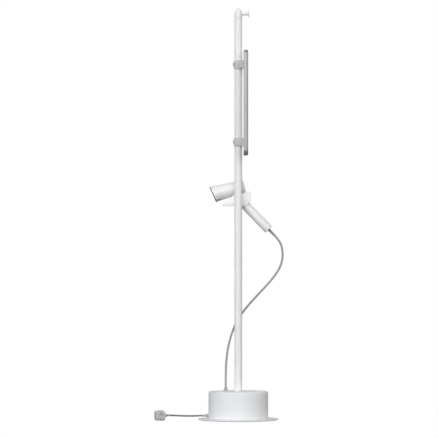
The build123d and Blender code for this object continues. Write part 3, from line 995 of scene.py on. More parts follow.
@dataclass
class Studio:
    """The camera, the pale floor and the soft light."""

    eye: Triple = (-0.0695, -15.4, 0.724)
    lens: float = 351.6
    floor_size: float = 60.0
    bounce: float = 0.13
    horizon: float = 0.94
    zenith: float = 0.16
    key: float = 3.42
    rear: float = 1.5
    key_azimuth: float = 11.0
    key_height: float = 6.0
    key_spread: float = 90.0
    rear_height: float = 4.0
    rear_spread: float = 20.0
    sensor: float = 36.0
    sight: float = 100.0

    def build(self) -> None:
        """Make the camera first, then the room."""
        self._camera()
        self._floor()
        self._world()
        self._lights()

    def _camera(self) -> None:
        """A level camera with a long lens."""
        BENCH.clear()
        bpy.ops.object.camera_add(location=self.eye, rotation=(math.radians(90), 0, 0))
        camera = bpy.context.active_object
        camera.data.lens = self.lens
        camera.data.sensor_width = self.sensor
        camera.data.clip_end = self.sight
        bpy.context.scene.camera = camera

    def _floor(self) -> None:
        """A plain floor that the camera sees as white and that gives back little light."""
        BENCH.clear()
        bpy.ops.mesh.primitive_plane_add(size=self.floor_size, location=(0, 0, 0))
        floor = bpy.context.active_object
        floor.name = "floor"
        paint = bpy.data.materials.new("floor_paint")
        paint.use_nodes = True
        tree = paint.node_tree
        shader = tree.nodes["Principled BSDF"]
        shader.inputs["Base Color"].default_value = (*[self.bounce] * 3, 1)
        shader.inputs["Roughness"].default_value = 0.9
        shader.inputs["Specular IOR Level"].default_value = 0.1
        white = tree.nodes.new("ShaderNodeEmission")
        mix = tree.nodes.new("ShaderNodeMixShader")
        tree.links.new(self._seen(tree), mix.inputs["Fac"])
        tree.links.new(shader.outputs["BSDF"], mix.inputs[1])
        tree.links.new(white.outputs["Emission"], mix.inputs[2])
        tree.links.new(mix.outputs["Shader"], tree.nodes["Material Output"].inputs["Surface"])
        floor.data.materials.append(paint)

    def _seen(self, tree: bpy.types.NodeTree) -> bpy.types.NodeSocket:
        """Tell what is seen, directly or in a mirror, from light that falls on things.

        Args:
            tree: the stage's node tree.

        Returns:
            A value that is 1 where it is seen.
        """
        path = tree.nodes.new("ShaderNodeLightPath")
        either = tree.nodes.new("ShaderNodeMath")
        either.operation = "MAXIMUM"
        tree.links.new(path.outputs["Is Camera Ray"], either.inputs[0])
        tree.links.new(path.outputs["Is Singular Ray"], either.inputs[1])
        return either.outputs[0]

    def _world(self) -> None:
        """An even surround, white to the camera."""
        world = bpy.data.worlds.new("surround")
        world.use_nodes = True
        tree = world.node_tree
        ground = tree.nodes["Background"]
        ground.inputs["Color"].default_value = (1.0, 1.0, 1.0, 1.0)
        ray = tree.nodes.new("ShaderNodeTexCoord").outputs["Generated"]
        split = tree.nodes.new("ShaderNodeSeparateXYZ")
        fade = tree.nodes.new("ShaderNodeMapRange")
        fade.inputs["To Min"].default_value = self.horizon
        fade.inputs["To Max"].default_value = self.zenith
        tree.links.new(ray, split.inputs[0])
        tree.links.new(split.outputs["Z"], fade.inputs["Value"])
        tree.links.new(fade.outputs["Result"], ground.inputs["Strength"])
        white = tree.nodes.new("ShaderNodeBackground")
        white.inputs["Color"].default_value = (1.0, 1.0, 1.0, 1.0)
        mix = tree.nodes.new("ShaderNodeMixShader")
        tree.links.new(self._seen(tree), mix.inputs["Fac"])
        tree.links.new(ground.outputs["Background"], mix.inputs[1])
        tree.links.new(white.outputs["Background"], mix.inputs[2])
        tree.links.new(mix.outputs["Shader"], tree.nodes["World Output"].inputs["Surface"])
        bpy.context.scene.world = world
        bpy.context.scene.view_settings.view_transform = "Standard"

    def _lights(self) -> None:
        """A broad light from the front and a little left, and a weaker one from straight behind."""
        self._sun("key", self.key_azimuth, self.key_height, self.key, self.key_spread, True)
        self._sun("rear", 180, self.rear_height, self.rear, self.rear_spread, False)

    def _sun(
        self, name: str, azimuth: float, height: float, strength: float, spread: float, glossy: bool
    ) -> None:
        """A light like a far softbox.

        Args:
            name: the light's name.
            azimuth: its direction in degrees, from the front towards the left.
            height: its angle above the horizon, in degrees.
            strength: its strength in watts per square metre.
            spread: how wide it looks, in degrees.
            glossy: whether it shows in gloss.
        """
        turn, rise = math.radians(azimuth), math.radians(height)
        level = math.cos(rise)
        toward = Vector((-math.sin(turn) * level, -math.cos(turn) * level, math.sin(rise)))
        facing = toward.to_track_quat("Z", "Y").to_euler()
        BENCH.clear()
        bpy.ops.object.light_add(type="SUN", location=toward * 5, rotation=facing)
        light = bpy.context.active_object
        light.name = name
        light.data.energy = strength
        light.data.angle = math.radians(spread)
        light.visible_glossy = glossy


@dataclass
class Cords(SubAssembly):
    """The dryer's cord, which hangs from the dryer's grip to the drum, and the short mains cord beside the
    base.
    """

    dryer_route: tuple[Triple, ...] = (
        (129.5, 45.0, 666.35), (139.9, 45.0, 655.6), (152.4, 46.0, 638.0), (159.2, 47.0, 616.0),
        (161.0, 48.0, 590.0), (155.5, 49.5, 561.0), (142.0, 51.0, 534.0), (121.0, 52.0, 505.5),
        (93.0, 52.5, 474.0), (62.0, 52.0, 441.5), (33.0, 50.0, 409.0), (8.0, 48.0, 377.0),
        (-12.0, 46.0, 342.0), (-27.5, 44.0, 300.0), (-38.5, 42.0, 254.0), (-44.0, 40.6, 204.0),
        (-45.3, 40.0, 158.0), (-45.3, 40.0, 118.0),
    )
    mains_route: tuple[Triple, ...] = (
        (-116.0, 0.0, 16.2), (-134.0, 0.0, 16.2), (-162.0, -0.6, 15.2), (-192.0, -2.6, 15.3),
        (-220.0, -6.4, 16.6), (-242.0, -10.6, 18.0), CORD_END,
    )
    dryer_radius: float = 3.8
    mains_radius: float = 3.0

    def line(self, name: str, route: Sequence[Triple], radius: float) -> bpy.types.Object:
        """A cord as a NURBS curve along its route.

        Args:
            name: the curve's name.
            route: its control points, in millimetres.
            radius: the cord's radius, or 0 for its centreline alone.

        Returns:
            The curve.
        """
        data = bpy.data.curves.new(name, "CURVE")
        data.dimensions = "3D"
        data.bevel_depth = radius * MM
        data.bevel_resolution = 6
        data.use_fill_caps = radius > 0
        spline = data.splines.new("NURBS")
        spline.points.add(len(route) - 1)
        for point, place in zip(spline.points, route):
            point.co = (*(Vector(place) * MM), 1.0)
        spline.order_u = 3
        spline.use_endpoint_u = True
        spline.resolution_u = 10
        curve = bpy.data.objects.new(name, data)
        bpy.context.scene.collection.objects.link(curve)
        return curve

    def centreline(self, route: Sequence[Triple]) -> list[Vector]:
        """The points that a route's curve passes.

        Args:
            route: its control points, in millimetres.

        Returns:
            The points, in metres and in order.
        """
        curve = self.line("centreline", route, 0.0)
        bpy.context.view_layer.update()
        mesh = bpy.data.meshes.new_from_object(curve)
        points = [vertex.co.copy() for vertex in mesh.vertices]
        bpy.data.objects.remove(curve)
        bpy.data.meshes.remove(mesh)
        return points

    def length(self, path: Sequence[Vector]) -> float:
        """The length of a path, in metres."""
        return sum((b - a).length for a, b in zip(path, path[1:]))

    def build(self, plug: Sequence[bpy.types.Object]) -> None:
        """Make both cords.

        Args:
            plug: the pieces at the mains cord's end.
        """
        self._dryer_cord()
        self._mains_cord(plug)

    def _dryer_cord(self) -> None:
        """A tube that hangs from the dryer's grip to the drum."""
        path = self.centreline(self.dryer_route)
        BENCH.take(self.line("dryer_cord_tube", self.dryer_route, self.dryer_radius))
        bpy.ops.object.convert(target="MESH")
        tube = BENCH.smooth(bpy.context.active_object, 50)
        self.catalogue.dress(tube, "cord_grey")
        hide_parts("dryer_cord")
        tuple(path[-1])
        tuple(path[0])
        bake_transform(tube)
        length = self.length(path)
        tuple(path[-1])
        LOG.info("dryer cord: %.3f m", length)

    def _mains_cord(self, plug: Sequence[bpy.types.Object]) -> None:
        """A curve from the drum to the plug.

        Args:
            plug: the pieces at its end; not used.
        """
        path = self.centreline(self.mains_route)
        mains = self.line("mains_cord_line", self.mains_route, self.mains_radius)
        self.catalogue.dress(mains, "mains_sheath")
        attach(mains, Body.STAND.value)
        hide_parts("mains_cord")
        length = self.length(path)
        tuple(path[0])
        LOG.info("mains cord: %.3f m", length)


@dataclass
class Base(SubAssembly):
    """The foot plate, the drum that covers the ballast, and the two cable glands."""

    plate_edge: float = 1.6
    drum_edge: float = 4.5
    wall: float = 1.8
    post_gap: float = 14.15
    screw_circles: Pair = (96.0, 29.0)
    flute_circle: float = 7.3

    def build(self) -> None:
        """Make the plate, the cover and the glands."""
        self._plate()
        self._cover()
        self._dryer_gland()
        self._mains_gland()

    def _plate(self) -> None:
        """The thin round plate with a rounded rim and its countersunk screw holes."""
        radius = span("foot_plate", 0)[1]
        low, high = span("foot_plate", 2)
        profile = [(0, low), (radius, low, 0.4), (radius, high, self.plate_edge), (0, high)]
        plate = BENCH.turned("foot_plate_disc", profile, steps=160, closed=False)
        sunk = countersink(low, high + 1)
        for circle in self.screw_circles:
            for at in around(3, circle):
                BENCH.cut(plate, BENCH.turned("screw_hole", sunk, upright(*at), steps=32, closed=False))
        self.add(plate, Body.STAND, "white_powder_coat", "foot_plate")

    def _cover(self) -> None:
        """The drum: a turned shell with a rounded shoulder and holes for the glands."""
        radius = span("drum_cover", 0)[1]
        low, high = span("drum_cover", 2)
        inner = radius - self.wall
        profile = [
            (self.post_gap, high, 0.5), (radius, high, self.drum_edge), (radius, low, 0.5), (inner, low),
            (inner, high - self.wall, self.drum_edge - self.wall), (self.post_gap, high - self.wall),
        ]
        cover = BENCH.turned("drum_shell", profile, steps=160, chords=8)
        x, y, _ = middle("dryer_gland")
        hole = BENCH.rod(4.6, high - 8, high + 2, upright(x, y))
        side = middle("mains_gland").z
        BENCH.cut(cover, hole, BENCH.rod(4.1, -8, 8, sideways(-radius, 0, side)))
        self.add(cover, Body.STAND, "white_powder_coat", "drum_cover")

    def _dryer_gland(self) -> None:
        """The upright gland: a flange, a fluted grip and a rounded nose."""
        x, y, _ = middle("dryer_gland")
        low, high = span("dryer_gland", 2)
        foot = span("drum_cover", 2)[1]
        profile = [
            (3.85, low), (4.5, low), (4.5, foot), (7.0, foot), (7.0, foot + 2.2, 0.3),
            (6.5, foot + 2.4), (6.8, foot + 9.0, 0.6), (5.6, high - 2.4), (4.8, high, 0.9),
            (3.85, high - 0.2),
        ]
        gland = BENCH.turned("dryer_gland_body", profile, upright(x, y), steps=72)
        places = around(12, self.flute_circle, (x, y))
        flutes = [BENCH.rod(0.85, foot + 3.2, foot + 8.4, upright(), at, 12) for at in places]
        BENCH.cut(gland, BENCH.joined("flutes", flutes))
        self.add(gland, Body.STAND, "gland_grey", "dryer_gland")

    def _mains_gland(self) -> None:
        """The side gland with its tapered, ringed strain relief."""
        z = middle("mains_gland").z
        drum = span("drum_cover", 0)[0]
        out = axes(Vector((drum, 0, z)) * MM, WORLD_Y, -WORLD_X)
        body = [(3.1, -9), (4.0, -9), (4.0, 0.6), (5.8, 0.6), (5.8, 5.6, 0.5), (5.0, 6.4)]
        rings: list[tuple] = []
        for i in range(5):
            height = 7.2 + 2.7 * i
            radius = 4.5 - 0.22 * i
            rings += [(radius, height, 0.2), (radius - 0.08, height + 1.5, 0.2), (radius - 0.6, height + 1.7),
                      (radius - 0.6, height + 2.5)]
        profile = body + rings + [(3.3, 20.9, 0.15), (3.05, 21.2)]
        gland = BENCH.turned("mains_gland_body", profile, out, steps=48, chords=3)
        self.add(gland, Body.STAND, "gland_grey", "mains_gland")


@dataclass
class Post(SubAssembly):
    """The tube, its domed cap and the peg."""

    radius: float = 14.0
    bore: float = 12.5
    peg_radius: float = 6.2
    dome_height: float = 16.0
    dome: tuple[Pair, ...] = (
        (14.0, 0.0), (13.7, 1.9), (12.7, 3.6), (11.5, 5.2), (10.1, 6.9), (8.6, 8.6), (7.0, 10.3),
        (5.4, 12.0), (3.8, 13.6), (2.3, 14.9), (1.1, 15.7),
    )

    def build(self) -> None:
        """Make the tube, the cap and the peg."""
        low, high = span("post_tube", 2)
        profile = [(self.bore, low), (self.radius, low), (self.radius, high, 0.5), (self.bore, high)]
        tube = BENCH.turned("post_tube_long", profile, steps=96)
        for z in SCREW_HEIGHTS:
            BENCH.cut(tube, BENCH.rod(3.5, 8, 18, outwards(0, 0, z)))
        self.add(tube, Body.STAND, "white_powder_coat", "post_tube")

        foot, top = span("post_cap", 2)
        shoulder = top - self.dome_height
        profile = [
            (0, foot), (12.3, foot, 0.8), (12.4, high - 0.3), (13.6, high + 0.1), (self.radius, high + 0.6),
            *((radius, shoulder + height) for radius, height in self.dome), (0, top),
        ]
        cap = BENCH.turned("post_cap_dome", profile, steps=96, closed=False)
        self.add(cap, Body.STAND, "white_powder_coat", "post_cap", 30)
        self._peg()

    def _peg(self) -> None:
        """The peg's rod, whose foot fits the post, and its round end."""
        start = middle("peg_rod")
        _, end = span("peg_rod", 0)
        out = sideways(0, 0, start.z)
        profile = [(0, 8), (self.peg_radius, 8), (self.peg_radius, end), (0, end)]
        rod = BENCH.turned("peg_rod_neck", profile, out, steps=48, closed=False)
        BENCH.cut(rod, BENCH.rod(self.radius - 0.1, -30, 30, upright(z=start.z), sides=96))
        BENCH.bevel(rod, 0.25, 2, 60)
        self.add(rod, Body.STAND, "white_powder_coat", "peg_rod")

        low, high = span("peg_disc", 0)
        radius = span("peg_disc", 2)[1] - start.z
        profile = [(0, low), (radius, low, 1.2), (radius, high, 1.4), (radius - 3.0, high, 0.6),
                   (radius - 3.6, high - 0.25), (0, high - 0.25)]
        knob = BENCH.turned("peg_disc_end", profile, out, steps=72, closed=False)
        self.add(knob, Body.STAND, "white_powder_coat", "peg_disc", 30)


@dataclass
class DryerFrame:
    """Where the dryer's barrel and grip are, from the axes of its joints."""

    fan: float = 97.5
    grip_start: float = 66.2
    front_radius: float = 29.5
    rear_radius: float = 23.0
    length: float = 116.0
    grip_radius: float = 17.0
    button_at: float = 152.0

    @property
    def barrel(self) -> Matrix:
        """Z runs from the outlet to the intake and Y points upwards.

        Returns:
            The barrel's place.
        """
        spin = joint("fan_spin")
        along = Vector(spin["axis"])
        return axes(Vector(spin["pos_m"]) - along * self.fan * MM, WORLD_Y, along)

    @property
    def grip(self) -> Matrix:
        """Z runs down the grip from the barrel's axis."""
        start = self.barrel @ Vector((0, 0, self.grip_start * MM))
        return axes(start, WORLD_Y, Vector(joint("speed_slide")["axis"]))

    @property
    def button(self) -> Matrix:
        """Z runs out of the grip's side at the cool button."""
        return self.grip @ sideways(self.grip_radius, 0, self.button_at)

    def radius(self, distance: float) -> float:
        """The barrel's outer radius at a distance from its outlet."""
        return self.front_radius + (self.rear_radius - self.front_radius) * distance / self.length


@dataclass
class Cradle(SubAssembly):
    """The saddle that holds the dryer by its grip, fixed to the post."""

    layout: DryerFrame
    centre: float = 45.0
    half_width: float = 22.0
    slot_half_width: float = 17.75
    grip_gap: float = 17.6
    barrel_gap: float = 0.4
    post_bore: float = 14.02
    arm_half_width: float = 17.4
    arm_front: float = 3.0
    arm_top: float = 806.0

    def build(self) -> None:
        """Make the saddle from its side outline, cut for the barrel, the grip and the post."""
        centre = self.centre
        left, right = span("cradle_body", 0)
        floor = span("cradle_body", 2)[0]
        outline = [(left, floor)]
        outline += arc_through((left, 785.0), (-37.6, 798.6), (-14.8, 806.3), 12)
        outline += arc_through((29.5, 820.4), (31.6, 823.5), (34.5, 827.2), 4)
        outline += arc_through((34.5, 827.2), (42.3, 823.0), (right, 815.0), 8)[1:]
        outline += arc_through((right, 788.5), (35.2, 776.6), (16.0, floor), 10)
        far = inwards(0, centre + self.half_width, 0)
        saddle = BENCH.extruded("cradle_saddle", outline, 2 * self.half_width, far)
        BENCH.bevel(saddle, 1.6, 4, 50)

        near = centre - self.half_width
        arm_outline = rounded(
            [(-self.arm_half_width, near + 4), (-self.arm_half_width, self.arm_front, 2.0),
             (self.arm_half_width, self.arm_front, 2.0), (self.arm_half_width, near + 4)],
            True,
        )
        arm = BENCH.extruded("cradle_arm", arm_outline, self.arm_top - floor - 0.8, upright(z=floor + 0.4))
        BENCH.boolean(saddle, arm, Shape.BOTH)

        low = (-self.slot_half_width, -self.grip_gap, -60)
        slot = BENCH.brick("slot", low, (self.slot_half_width, 120, 160), self.layout.grip)
        start, end = -2, 124
        mouth, tail = (self.layout.radius(at) + self.barrel_gap for at in (start, end))
        hollow = [(0, start), (mouth, start), (tail, end), (0, end)]
        groove = BENCH.turned("groove", hollow, self.layout.barrel, steps=128, closed=False)
        bore = BENCH.rod(self.post_bore, floor - 1, self.arm_top + 1, upright(), sides=96)
        BENCH.cut(saddle, slot, groove, bore)
        sunk = countersink(0, 30)
        for height in SCREW_HEIGHTS:
            seat = inwards(0, centre - self.slot_half_width, height)
            hole = BENCH.turned("screw_seat", sunk, seat, steps=32, closed=False)
            BENCH.cut(saddle, hole, BENCH.rod(5.6, 14, 30, outwards(0, centre, height)))
        BENCH.bevel(saddle, 0.35, 2, 55)
        # The cradle gets a paler copy of the white plastic: painted light against the shade of the post
        self.add(saddle, Body.STAND, "cradle_white_painted_light", "cradle_body", 30)


@dataclass
class Clips(SubAssembly):
    """The two moulded clips between the post and the mirror."""

    half: float = 15.0
    bore: float = 15.55
    lip: float = 17.15
    lip_depth: float = 1.6
    pad_start: float = 10.5

    def build(self) -> None:
        """Model one clip and copy it for the other height."""
        z = middle("upper_clip").z
        upper = self._clip(z)
        lower = BENCH.copied(upper, "lower_clip_body", upright(z=middle("lower_clip").z - z))
        self.catalogue.add(upper, Body.MIRROR, "grey_clip_plastic", "upper_clip")
        self.catalogue.add(lower, Body.MIRROR, "grey_clip_plastic", "lower_clip")

    def _clip(self, z: float) -> bpy.types.Object:
        """A clip: a tongue with a round nose and two pads behind the mirror.

        Args:
            z: the height of its middle.

        Returns:
            The clip, smoothed.
        """
        left, back = span("upper_clip", 0)
        radius = -left
        pad = span("upper_clip", 1)[1]
        plan = [(self.pad_start, -pad, 2.0), (back, -pad), (back, pad), (self.pad_start, pad, 2.0),
                (self.pad_start, radius, 2.5)]
        nose = arc_through((0, radius), (-radius, 0), (0, -radius), 40)
        points = rounded(plan + nose + [(self.pad_start, -radius, 2.5)], True)
        clip = BENCH.extruded("upper_clip_body", points, 2 * self.half, upright(z=z - self.half))
        centre = self.half - radius
        profile = arc_through((centre, self.half), (centre - self.half, 0), (centre, -self.half), 32)
        outline = profile + [(back + 1, profile[-1][1]), (back + 1, profile[0][1])]
        side = BENCH.extruded("outline", outline, 2 * pad + 8, inwards(0, pad + 4, z))
        BENCH.boolean(clip, side, Shape.COMMON)
        BENCH.bevel(clip, 1.2, 3, 42)
        cutters = [BENCH.rod(self.bore, z - 20, z + 20, upright(), sides=96)]
        for edge in (z - self.half, z + self.half):
            low, high = edge - self.lip_depth, edge + self.lip_depth
            cutters.append(BENCH.rod(self.lip, low, high, upright(), sides=96))
        BENCH.cut(clip, *cutters)
        return BENCH.smooth(clip)


@dataclass
class Mirror(SubAssembly):
    """The mirror's tray, front frame and glass."""

    corner: float = 18.0
    rim: float = 5.0
    wall: float = 1.6
    back_edge: float = 1.4
    front_edge: float = 4.0

    def build(self) -> None:
        """Make the three panels."""
        self._tray()
        self._frame()
        self._glass()

    def _panel(self, name: str, inset: float, back: float, front: float) -> bpy.types.Object:
        """A standing panel with rounded corners.

        Args:
            name: the piece's name.
            inset: how far its outline is inside the mirror's.
            back: its X at the back.
            front: its X at the front.

        Returns:
            The piece.
        """
        y_low, y_high = span("mirror_frame", 1)
        z_low, z_high = span("mirror_frame", 2)
        corner = self.corner - inset
        a, b, c, d = y_low + inset, y_high - inset, z_low + inset, z_high - inset
        points = rounded([(a, c, corner), (b, c, corner), (b, d, corner), (a, d, corner)], True, 14)
        return BENCH.extruded(name, points, front - back, sideways(back, 0, 0))

    def _tray(self) -> None:
        """The folded back, whose rear edge is rounded and whose back face has a paler coat."""
        back, seam = span("mirror_tray", 0)
        tray = self._panel("mirror_tray_back", 0.0, back, seam - 0.15)
        self._round(tray, back, self.back_edge)
        BENCH.cut(tray, self._panel("inside", self.wall, back + self.wall, seam + 1))
        self.add(tray, Body.MIRROR, "mirror_metal", "mirror_tray")
        tray.data.materials.append(self.catalogue.finish("mirror_back_coat"))
        BENCH.paint(tray, 1, lambda face: face.center.x < (back + 0.1) * MM)

    def _round(self, panel: bpy.types.Object, x: float, width: float) -> None:
        """Round a panel's outline at one X.

        Args:
            panel: the panel.
            x: which face's edges are rounded.
            width: the rounding, in millimetres.
        """
        BENCH.select(panel, lambda place: abs(place.x - x * MM) < 1e-5)
        BENCH.take(panel)
        bpy.ops.object.mode_set(mode="EDIT")
        bpy.ops.mesh.select_mode(type="FACE")
        bpy.ops.mesh.region_to_loop()
        bpy.ops.mesh.bevel(offset=width * MM, segments=4, affect="EDGES")
        bpy.ops.mesh.select_mode(type="VERT")
        bpy.ops.object.mode_set(mode="OBJECT")

    def _frame(self) -> None:
        """The front frame, with a rounded front edge and a rebate for the glass."""
        seam, front = span("mirror_frame", 0)
        border = self._panel("mirror_frame_front", 0.0, seam, front)
        self._round(border, front, self.front_edge)
        BENCH.cut(
            border,
            self._panel("opening", self.rim, seam - 1, front + 1),
            self._panel("rebate", self.rim - 2.0, seam - 1, front - 1.2),
        )
        BENCH.bevel(border, 0.25, 2, 60)
        # The front frame gets a darker copy of the mirror metal: painted shade
        self.add(border, Body.MIRROR, "mirror_front_metal_painted_shade", "mirror_frame")

    def _glass(self) -> None:
        """The glass, with a fine ground edge."""
        back, front = span("mirror_glass", 0)
        glass = self._panel("mirror_glass_pane", self.rim - 1.9, back, front)
        BENCH.bevel(glass, 0.5, 1, 60)
        self.add(glass, Body.MIRROR, "mirror_glass", "mirror_glass", 20)


@dataclass
class Dryer(SubAssembly):
    """The hand dryer: barrel, outlet, intake, grip, switch and button."""

    layout: DryerFrame
    wall: float = 2.0
    slant: float = 9.0
    grip_end: float = 199.0
    hole_pitch: float = 4.6
    lip_depth: float = 3.0
    rim_seam: float = 10.5
    cap_seam: float = 108.0
    half_gap: float = 0.15

    def build(self) -> None:
        """Make every piece of the dryer."""
        self._barrel()
        self._outlet()
        self._intake()
        self._grip()
        self._relief()
        self._switches()

    def _front_of(self, depth: float) -> bpy.types.Object:
        """A cutter for what lies in front of a slanted plane.

        Args:
            depth: how far the plane is behind the outlet.

        Returns:
            The cutter.
        """
        turn = Matrix.Rotation(math.radians(-self.slant), 4, "X")
        place = self.layout.barrel @ upright(z=depth) @ turn
        return BENCH.brick("slanted_front", (-70, -70, -80), (70, 70, 0), place)

    def _shell(self, name: str, start: float, end: float) -> bpy.types.Object:
        """A length of the barrel's wall.

        Args:
            name: the piece's name.
            start: where it starts behind the outlet.
            end: where it ends.

        Returns:
            The piece.
        """
        wide, narrow = self.layout.radius(start), self.layout.radius(end)
        profile = [(wide, start), (narrow, end, 0.35), (narrow - self.wall, end), (wide - self.wall, start)]
        return BENCH.turned(name, profile, self.layout.barrel, 128)

    def _barrel(self) -> None:
        """The main shell, cut along the slanted seam and opened for the grip."""
        shell = self._shell("barrel_shell_body", -4, self.cap_seam)
        hole = BENCH.rod(self.layout.grip_radius - self.wall, 5, 40, self.layout.grip, sides=64)
        BENCH.cut(shell, self._front_of(self.rim_seam + self.half_gap), hole)
        BENCH.bevel(shell, 0.3, 2, 60)
        self.add(shell, Body.DRYER, "white_plastic", "barrel_shell", 30)

    def _outlet(self) -> None:
        """The white rim, the dark ring at the mouth and the grille behind it."""
        rim = self._shell("nozzle_rim_band", -8, 24)
        BENCH.cut(rim, self._front_of(self.lip_depth))
        BENCH.boolean(rim, self._front_of(self.rim_seam - self.half_gap), Shape.COMMON)
        BENCH.bevel(rim, 0.3, 2, 60)
        self.add(rim, Body.DRYER, "white_plastic", "nozzle_rim", 30)

        outer = self.layout.front_radius - 0.4
        profile = [(outer, -8), (outer, 12), (outer - 4.6, 12), (outer - 4.6, -8)]
        lip = BENCH.turned("outlet_ring_lip", profile, self.layout.barrel, 128)
        BENCH.cut(lip, self._front_of(0.0))
        BENCH.boolean(lip, self._front_of(self.lip_depth), Shape.COMMON)
        BENCH.bevel(lip, 0.7, 3, 60)
        self.add(lip, Body.DRYER, "outlet_rubber", "outlet_ring", 30)
        self._grille()

    def _grille(self) -> None:
        """Rings and spokes, joined in one moulding."""
        low, high = 15.0, 17.0
        edge = self.layout.radius(high) - self.wall - 0.2
        parts = []
        for outer, inner in ((edge, edge - 1.6), (18.6, 17.4), (12.6, 11.4), (6.6, 5.4)):
            profile = [(outer, low, 0.3), (outer, high, 0.3), (inner, high, 0.3), (inner, low, 0.3)]
            parts.append(BENCH.turned("grille_ring", profile, self.layout.barrel, 96, chords=3))
        for turn in (0, 60, 120):
            place = self.layout.barrel @ Matrix.Rotation(math.radians(turn), 4, "Z")
            start = (-edge + 0.8, -0.6, low + 0.15)
            bar = BENCH.brick("grille_spoke", start, (edge - 0.8, 0.6, high - 0.15), place)
            parts.append(BENCH.bevel(bar, 0.2, 2, 60))
        grille = BENCH.joined("outlet_grille_moulding", parts)
        self.add(grille, Body.DRYER, "black_plastic", "outlet_grille")

    def _intake(self) -> None:
        """The domed rear cap with its three rings of holes."""
        r = self.layout.radius
        end = self.layout.length
        outer, start = r(self.cap_seam), self.cap_seam + self.half_gap
        profile = [
            (0, end + 3.8), (12.0, end + 3.4, 8.0), (r(end) - 2.4, end + 1.8, 2.0), (r(end), end, 0.9),
            (outer, start, 0.3), (outer - self.wall, start), (r(end - 1) - self.wall, end - 1),
            (0, end - 1),
        ]
        cap = BENCH.turned("rear_cap_dome", profile, self.layout.barrel, 128, closed=False)
        places = [(0.0, 0.0)]
        for ring in (1, 2, 3):
            places += around(6 * ring, self.hole_pitch * ring)
        holes = [BENCH.rod(1.2, 110, end + 6, self.layout.barrel, at, 20) for at in places]
        BENCH.cut(cap, BENCH.joined("holes", holes))
        self.add(cap, Body.DRYER, "white_plastic", "rear_cap", 30)

    def _grip(self) -> None:
        """The grip's tube, whose top meets the barrel, and its end cap."""
        outer, inner = self.layout.grip_radius, self.layout.grip_radius - self.wall
        seam = self.grip_end - 4
        profile = [(outer, 5), (outer, seam - 0.12, 0.3), (inner, seam - 0.12), (inner, 5)]
        shell = BENCH.turned("grip_shell_tube", profile, self.layout.grip, 96)
        r = self.layout.radius
        barrel = [(0, -10), (r(-10), -10), (r(126), 126), (0, 126)]
        saddle = BENCH.turned("saddle", barrel, self.layout.barrel, 128, closed=False)
        slot = BENCH.brick("slider_slot", (outer - 4, -3.2, 118), (outer + 4, 3.2, 142), self.layout.grip)
        button_hole = BENCH.rod(4.3, -5, 5, self.layout.button)
        BENCH.cut(shell, saddle, BENCH.bevel(slot, 1.0, 3, 60), button_hole)
        BENCH.bevel(shell, 0.3, 2, 60)
        self.add(shell, Body.DRYER, "white_plastic", "grip_shell", 30)

        end = self.grip_end
        profile = [
            (5.7, end - 10), (inner - 0.1, end - 10), (inner - 0.1, seam), (outer, seam + 0.12, 0.3),
            (outer, end, 1.6), (8.4, end, 0.4), (7.9, end - 0.8), (5.7, end - 0.8),
        ]
        cap = BENCH.turned("grip_end_cap_lid", profile, self.layout.grip, 96)
        self.add(cap, Body.DRYER, "white_plastic", "grip_end_cap", 30)

    def _relief(self) -> None:
        """The tapered strain relief with its rings, flanged inside the grip."""
        end = self.grip_end
        profile: list[tuple] = [
            (3.82, end - 14), (7.5, end - 14), (7.5, end - 10), (5.6, end - 10), (5.6, end + 3.0, 0.2),
        ]
        for i in range(6):
            height = end + 4.0 + 3.8 * i
            radius = 5.55 - 0.16 * i
            profile += [(radius - 0.9, height - 0.9), (radius - 0.9, height), (radius, height + 0.15, 0.2),
                        (radius - 0.1, height + 2.7, 0.2)]
        profile += [(4.55, end + 26.6, 0.3), (4.3, end + 28.0, 0.3), (3.82, end + 28.0)]
        relief = BENCH.turned("strain_relief_boot", profile, self.layout.grip, 48, chords=3)
        self.add(relief, Body.DRYER, "relief_grey", "grip_strain_relief")

    def _switches(self) -> None:
        """The ribbed speed slider and the dished cool button."""
        r = self.layout.grip_radius
        low, high = 118.4, 133.4
        grip = self.layout.grip
        slider = BENCH.brick("speed_slider_cap", (r - 3.6, -2.9, low), (r + 1.4, 2.9, high), grip)
        BENCH.bevel(slider, 0.6, 3, 60)
        heights = [low + 3.5 + 2.0 * i for i in range(5)]
        grooves = [BENCH.brick("groove", (r + 0.8, -4, z - 0.4), (r + 3, 4, z + 0.4), grip) for z in heights]
        BENCH.cut(slider, BENCH.joined("grooves", grooves))
        self.add(slider, Body.SPEED, "grey_clip_plastic", "speed_slider")

        profile = [(0, -4.5), (4.0, -4.5), (4.0, 1.7, 0.8), (3.0, 1.7, 0.4), (1.5, 1.35, 1.0), (0, 1.3)]
        button = BENCH.turned("cool_button_cap", profile, self.layout.button, 48, closed=False, chords=4)
        self.add(button, Body.COOL, "grey_clip_plastic", "cool_button", 30)


